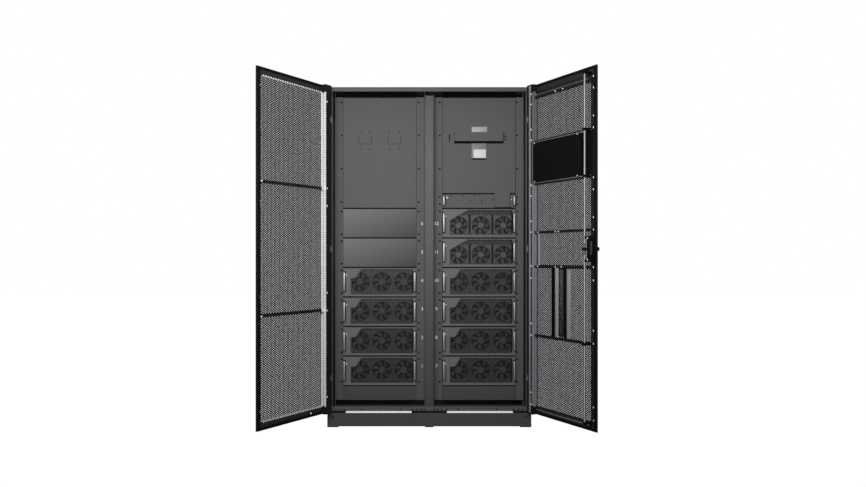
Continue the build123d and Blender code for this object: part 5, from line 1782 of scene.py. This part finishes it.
def tab_rows(door):
    """Rows of short folded tabs across a door's leaf, at the ends of its sheet."""
    heights, half_h, v, finish_name = TAB_ROWS[door.side]
    tab = Shape()
    tab.box((-TAB_HALF_W, -half_h, -0.2 * MM), (TAB_HALF_W, half_h, 1.2 * MM), 0.4 * MM)
    count = int((DOOR_W - FREE_STILE[door.side] - TAB_FIRST) / TAB_PITCH)
    points = [door.at(TAB_FIRST + step * TAB_PITCH, v, z * MM) for z in heights for step in range(count)]
    tabs = repeat(tab.mesh("tab"), points, finish_name, door.face(LEAF_T, inward=True))
    tabs.transform(door.opened)
    place(f"{door.side}_sheet_tabs", tabs, finish_name, body=door.body)


def rail_faces(door):
    """Thin satin faces on the leaf of a door, above and below its sheet."""
    shape = Shape()
    last = DOOR_W - SEAL_IN - SEAL_W[door.side] - RAIL_FACE_END
    for low, high in RAIL_FACES_Z[door.side]:
        door.box(shape, HINGE_STILE + RAIL_FACE_END, last, LEAF_T, LEAF_T + RAIL_FACE_T, low * MM, high * MM)
    door.place(f"{door.side}_rail_faces", shape, "door_paint", "rail_black")


def bar_brackets(door):
    """Bright brackets that hold the left door's cross bars on its hinge stile."""
    shape = Shape()
    for z in LEFT_BARS_Z:
        low, high = z * MM - BRACKET_HALF_H, z * MM + BRACKET_HALF_H
        door.box(shape, *BRACKET_U, BAR_V, BAR_V + BRACKET_T, low, high, 1 * MM)
    door.place("left_bar_brackets", shape, "bright_steel", "tab_white")


def lock_gear(door):
    """Slim gear case of the lock, with an open guide for each rod and a plate on its edge."""
    low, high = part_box("lock_case")
    case = Shape()
    door.box(case, *LOCK_U, LEAF_T, LOCK_V, low.z, high.z, 1.5 * MM)
    for first in (low.z, high.z - LOCK_GUIDE_H):
        for u, v0, v1 in LOCK_GUIDES:
            door.box(case, u, LOCK_U[0] + LOCK_GUIDE_LAP, v0, v1, first, first + LOCK_GUIDE_H, 0.6 * MM)
    door.place("lock_gear", case, "black_plastic", "black_plastic", ("lock_case",))
    plate = Shape()
    u0, u1 = LOCK_U[1] - LOCK_PLATE_HALF_T, LOCK_U[1] + LOCK_PLATE_HALF_T
    door.box(plate, u0, u1, *LOCK_PLATE_V, low.z + LOCK_PLATE_UP, high.z - LOCK_PLATE_DOWN, 0.4 * MM)
    door.place("lock_gear_plate", plate, "door_paint", "frame_paint")


def channel_lining(door, holes):
    """Cable channel of the right door: zinc rail, dark walls, a perforated sheet and the trim beside it."""
    u0, u1 = CHANNEL_U
    low, high = CHANNEL_Z
    floor_v = BAR_V - CHANNEL_T
    rails = Shape()
    door.box(rails, u0 + CHANNEL_RAIL[0], u0 + CHANNEL_RAIL[1], floor_v, BAR_V, low, high, 0.5 * MM)
    door.place("channel_rails", rails, "bright_steel", "dull_zinc", ("cable_channel",))
    walls = Shape()
    door.box(walls, u0 + CHANNEL_WALL[0], u0 + CHANNEL_WALL[1], floor_v, BAR_V, low, high, 0.5 * MM)
    for side in (u0, u1 - CHANNEL_T):
        door.box(walls, side, side + CHANNEL_T, LEAF_T, BAR_V, low, high)
    door.place("channel_walls", walls, "door_paint", "rubber", ("cable_channel",))
    trim = Shape()
    door.box(trim, *TRIM_U, LEAF_T, LEAF_T + TRIM_T, low, high, 0.5 * MM)
    door.place("channel_trim", trim, "bright_steel", "dull_zinc")
    corners = ((u0 + CHANNEL_SHEET, low + CHANNEL_SHEET_IN),
               (u1 - CHANNEL_SHEET_END, high - CHANNEL_SHEET_IN))
    pattern = (holes.door_pitch, holes.door_hole * CHANNEL_HOLE_SHARE, 1 * MM)
    door_sheet(door, "channel_sheet", floor_v, corners, pattern, "cable_channel")


def stile_lining(door):
    """Dull strip on the right door's hinge stile, edge lines of its rails and display, and its top cover."""
    shape = Shape()
    for u0, u1, v, thickness, z0, z1, bevel in LINING_BOXES:
        door.box(shape, u0, u1, v, v + thickness, z0, z1, bevel)
    door.place("right_stile_lining", shape, "bright_steel", "dull_zinc")
    cover = Shape()
    top = WINDOW_TOP + 2 * MM
    door.box(cover, HINGE_STILE, BAR_END, LEAF_T, LEAF_T + TOP_COVER_T, TOP_COVER_LOW, top, 0.3 * MM)
    door.place("right_top_cover", cover, "door_paint", "door_paint")


class CABINET_OT_door_details(bpy.types.Operator):
    """Seals, screws, tabs, brackets and linings of both doors, and the lock's gear case"""
    bl_idname = "cabinet.door_details"
    bl_label = "Door details"

    def execute(self, context):
        radius = context.scene.cabinet_fasteners.door_screw
        for door in DOORS.values():
            door_seal(door)
            door_screws(door, radius)
            tab_rows(door)
            rail_faces(door)
        bar_brackets(DOORS["left"])
        lock_gear(DOORS["right"])
        channel_lining(DOORS["right"], context.scene.cabinet_perforation)
        stile_lining(DOORS["right"])
        return {"FINISHED"}


# Stage

FLOOR_SIZE = 30.0
FLOOR_GREY = (0.16, 0.16, 0.16, 1)
FLOOR_GLOW = 1.14
FLOOR_GLOW_SHARE = 0.88
KEY_PLACE = (-0.35, -2.4, 1.7)
KEY_TARGET = (-0.2, -0.3, 1.6)
KEY_SIZE = (1.8, 1.1)


def stage_floor():
    """Pale floor: nearly white to the camera, with soft shadows, and dim in what it throws back."""
    mesh = bpy.data.meshes.new("floor")
    half = FLOOR_SIZE / 2
    corners = [(x, y, 0) for x, y in rectangle(-half, half, -half, half)]
    mesh.from_pydata(corners, [], [(0, 1, 2, 3)])
    floor = bpy.data.objects.new("floor", mesh)
    material = bpy.data.materials.new("pale_floor")
    material.use_nodes = True
    tree = material.node_tree
    shader = tree.nodes["Principled BSDF"]
    shader.inputs["Base Color"].default_value = FLOOR_GREY
    shader.inputs["Roughness"].default_value = 0.8
    shader.inputs["Specular IOR Level"].default_value = 0.0
    shine = result(tree, "ShaderNodeEmission", {"Strength": FLOOR_GLOW})
    seen = tree.nodes.new("ShaderNodeLightPath").outputs["Is Camera Ray"]
    share = calc(tree, "MULTIPLY", seen, FLOOR_GLOW_SHARE)
    mixed = result(tree, "ShaderNodeMixShader", {0: share, 1: shader.outputs[0], 2: shine})
    tree.links.new(mixed, tree.nodes["Material Output"].inputs["Surface"])
    mesh.materials.append(material)
    bpy.context.scene.collection.objects.link(floor)


def stage_world(settings):
    """White surround for the camera, brighter overhead than at the horizon for everything else."""
    world = bpy.data.worlds.new("studio")
    world.use_nodes = True
    tree = world.node_tree
    backdrop = tree.nodes["Background"]
    up = add_node(tree, "ShaderNodeSeparateXYZ", {
        0: tree.nodes.new("ShaderNodeTexCoord").outputs["Generated"]}).outputs[2]
    span = settings.sky - settings.horizon
    lift = calc(tree, "ADD", calc(tree, "MULTIPLY", calc(tree, "MAXIMUM", up, 0.0), span), settings.horizon)
    seen = tree.nodes.new("ShaderNodeLightPath").outputs["Is Camera Ray"]
    tree.links.new(calc(tree, "MAXIMUM", lift, seen), backdrop.inputs["Strength"])
    backdrop.inputs["Color"].default_value = (1, 1, 1, 1)
    bpy.context.scene.world = world


def stage_light(name, place_at, target, size, power):
    """Large soft light."""
    lamp = bpy.data.lights.new(name, "AREA")
    lamp.energy = power
    lamp.shape = "RECTANGLE"
    lamp.size = size[0]
    lamp.size_y = size[1]
    holder = bpy.data.objects.new(name, lamp)
    holder.location = place_at
    holder.rotation_euler = (Vector(target) - Vector(place_at)).to_track_quat("-Z", "Y").to_euler()
    holder.visible_camera = False
    bpy.context.scene.collection.objects.link(holder)


# Shift of the picture, in pixels of its width
IMAGE_W = 866
PICTURE_LEFT = 3.7
PICTURE_DOWN = 13.4


class CABINET_OT_stage(bpy.types.Operator):
    """Floor, studio light and camera"""
    bl_idname = "cabinet.stage"
    bl_label = "Stage"

    def execute(self, context):
        settings = context.scene.cabinet_stage
        stage_floor()
        stage_world(settings)
        stage_light("key", KEY_PLACE, KEY_TARGET, KEY_SIZE, settings.key_power)
        camera = bpy.data.cameras.new("camera")
        camera.lens = settings.lens
        camera.shift_x = PICTURE_LEFT / IMAGE_W
        camera.shift_y = PICTURE_DOWN / IMAGE_W
        holder = bpy.data.objects.new("camera", camera)
        holder.location = (0, -settings.camera_distance, settings.camera_height)
        holder.rotation_euler = (math.radians(90), 0, 0)
        context.scene.collection.objects.link(holder)
        context.scene.camera = holder
        context.scene.view_settings.view_transform = "Standard"
        return {"FINISHED"}


OPERATORS = (
    CABINET_OT_finishes, CABINET_OT_door_sheets, CABINET_OT_rear_sheets, CABINET_OT_module_grilles,
    CABINET_OT_fans, CABINET_OT_fan_backing, CABINET_OT_gap_backing, CABINET_OT_panel_lines,
    CABINET_OT_grille_teeth, CABINET_OT_handles, CABINET_OT_handle_recesses, CABINET_OT_rack_screws,
    CABINET_OT_slot_numbers, CABINET_OT_lamps, CABINET_OT_bypass_details, CABINET_OT_base_details,
    CABINET_OT_shell_screws, CABINET_OT_door_details, CABINET_OT_stage,
)


class CABINET_PT_panel(bpy.types.Panel):
    """Sidebar panel with one button for each group of pieces"""
    bl_idname = "CABINET_PT_panel"
    bl_label = "Cabinet"
    bl_space_type = "VIEW_3D"
    bl_region_type = "UI"
    bl_category = "Cabinet"

    def draw(self, context):
        for operator in OPERATORS:
            self.layout.operator(operator.bl_idname)
        for name, kind in SETTINGS.items():
            box = self.layout.box()
            box.label(text=kind.__name__)
            for label in kind.__annotations__:
                box.prop(getattr(context.scene, name), label)


CLASSES = (*SETTINGS.values(), *OPERATORS, CABINET_PT_panel)


def register():
    for kind in CLASSES:
        bpy.utils.register_class(kind)
    for name, kind in SETTINGS.items():
        setattr(bpy.types.Scene, name, PointerProperty(type=kind))


def unregister():
    for name in SETTINGS:
        delattr(bpy.types.Scene, name)
    for kind in reversed(CLASSES):
        bpy.utils.unregister_class(kind)


def main():
    """Dress the cabinet and set the stage."""
    register()
    for operator in OPERATORS:
        group, name = operator.bl_idname.split(".")
        getattr(getattr(bpy.ops, group), name)()


if __name__ == "__main__":
    main()
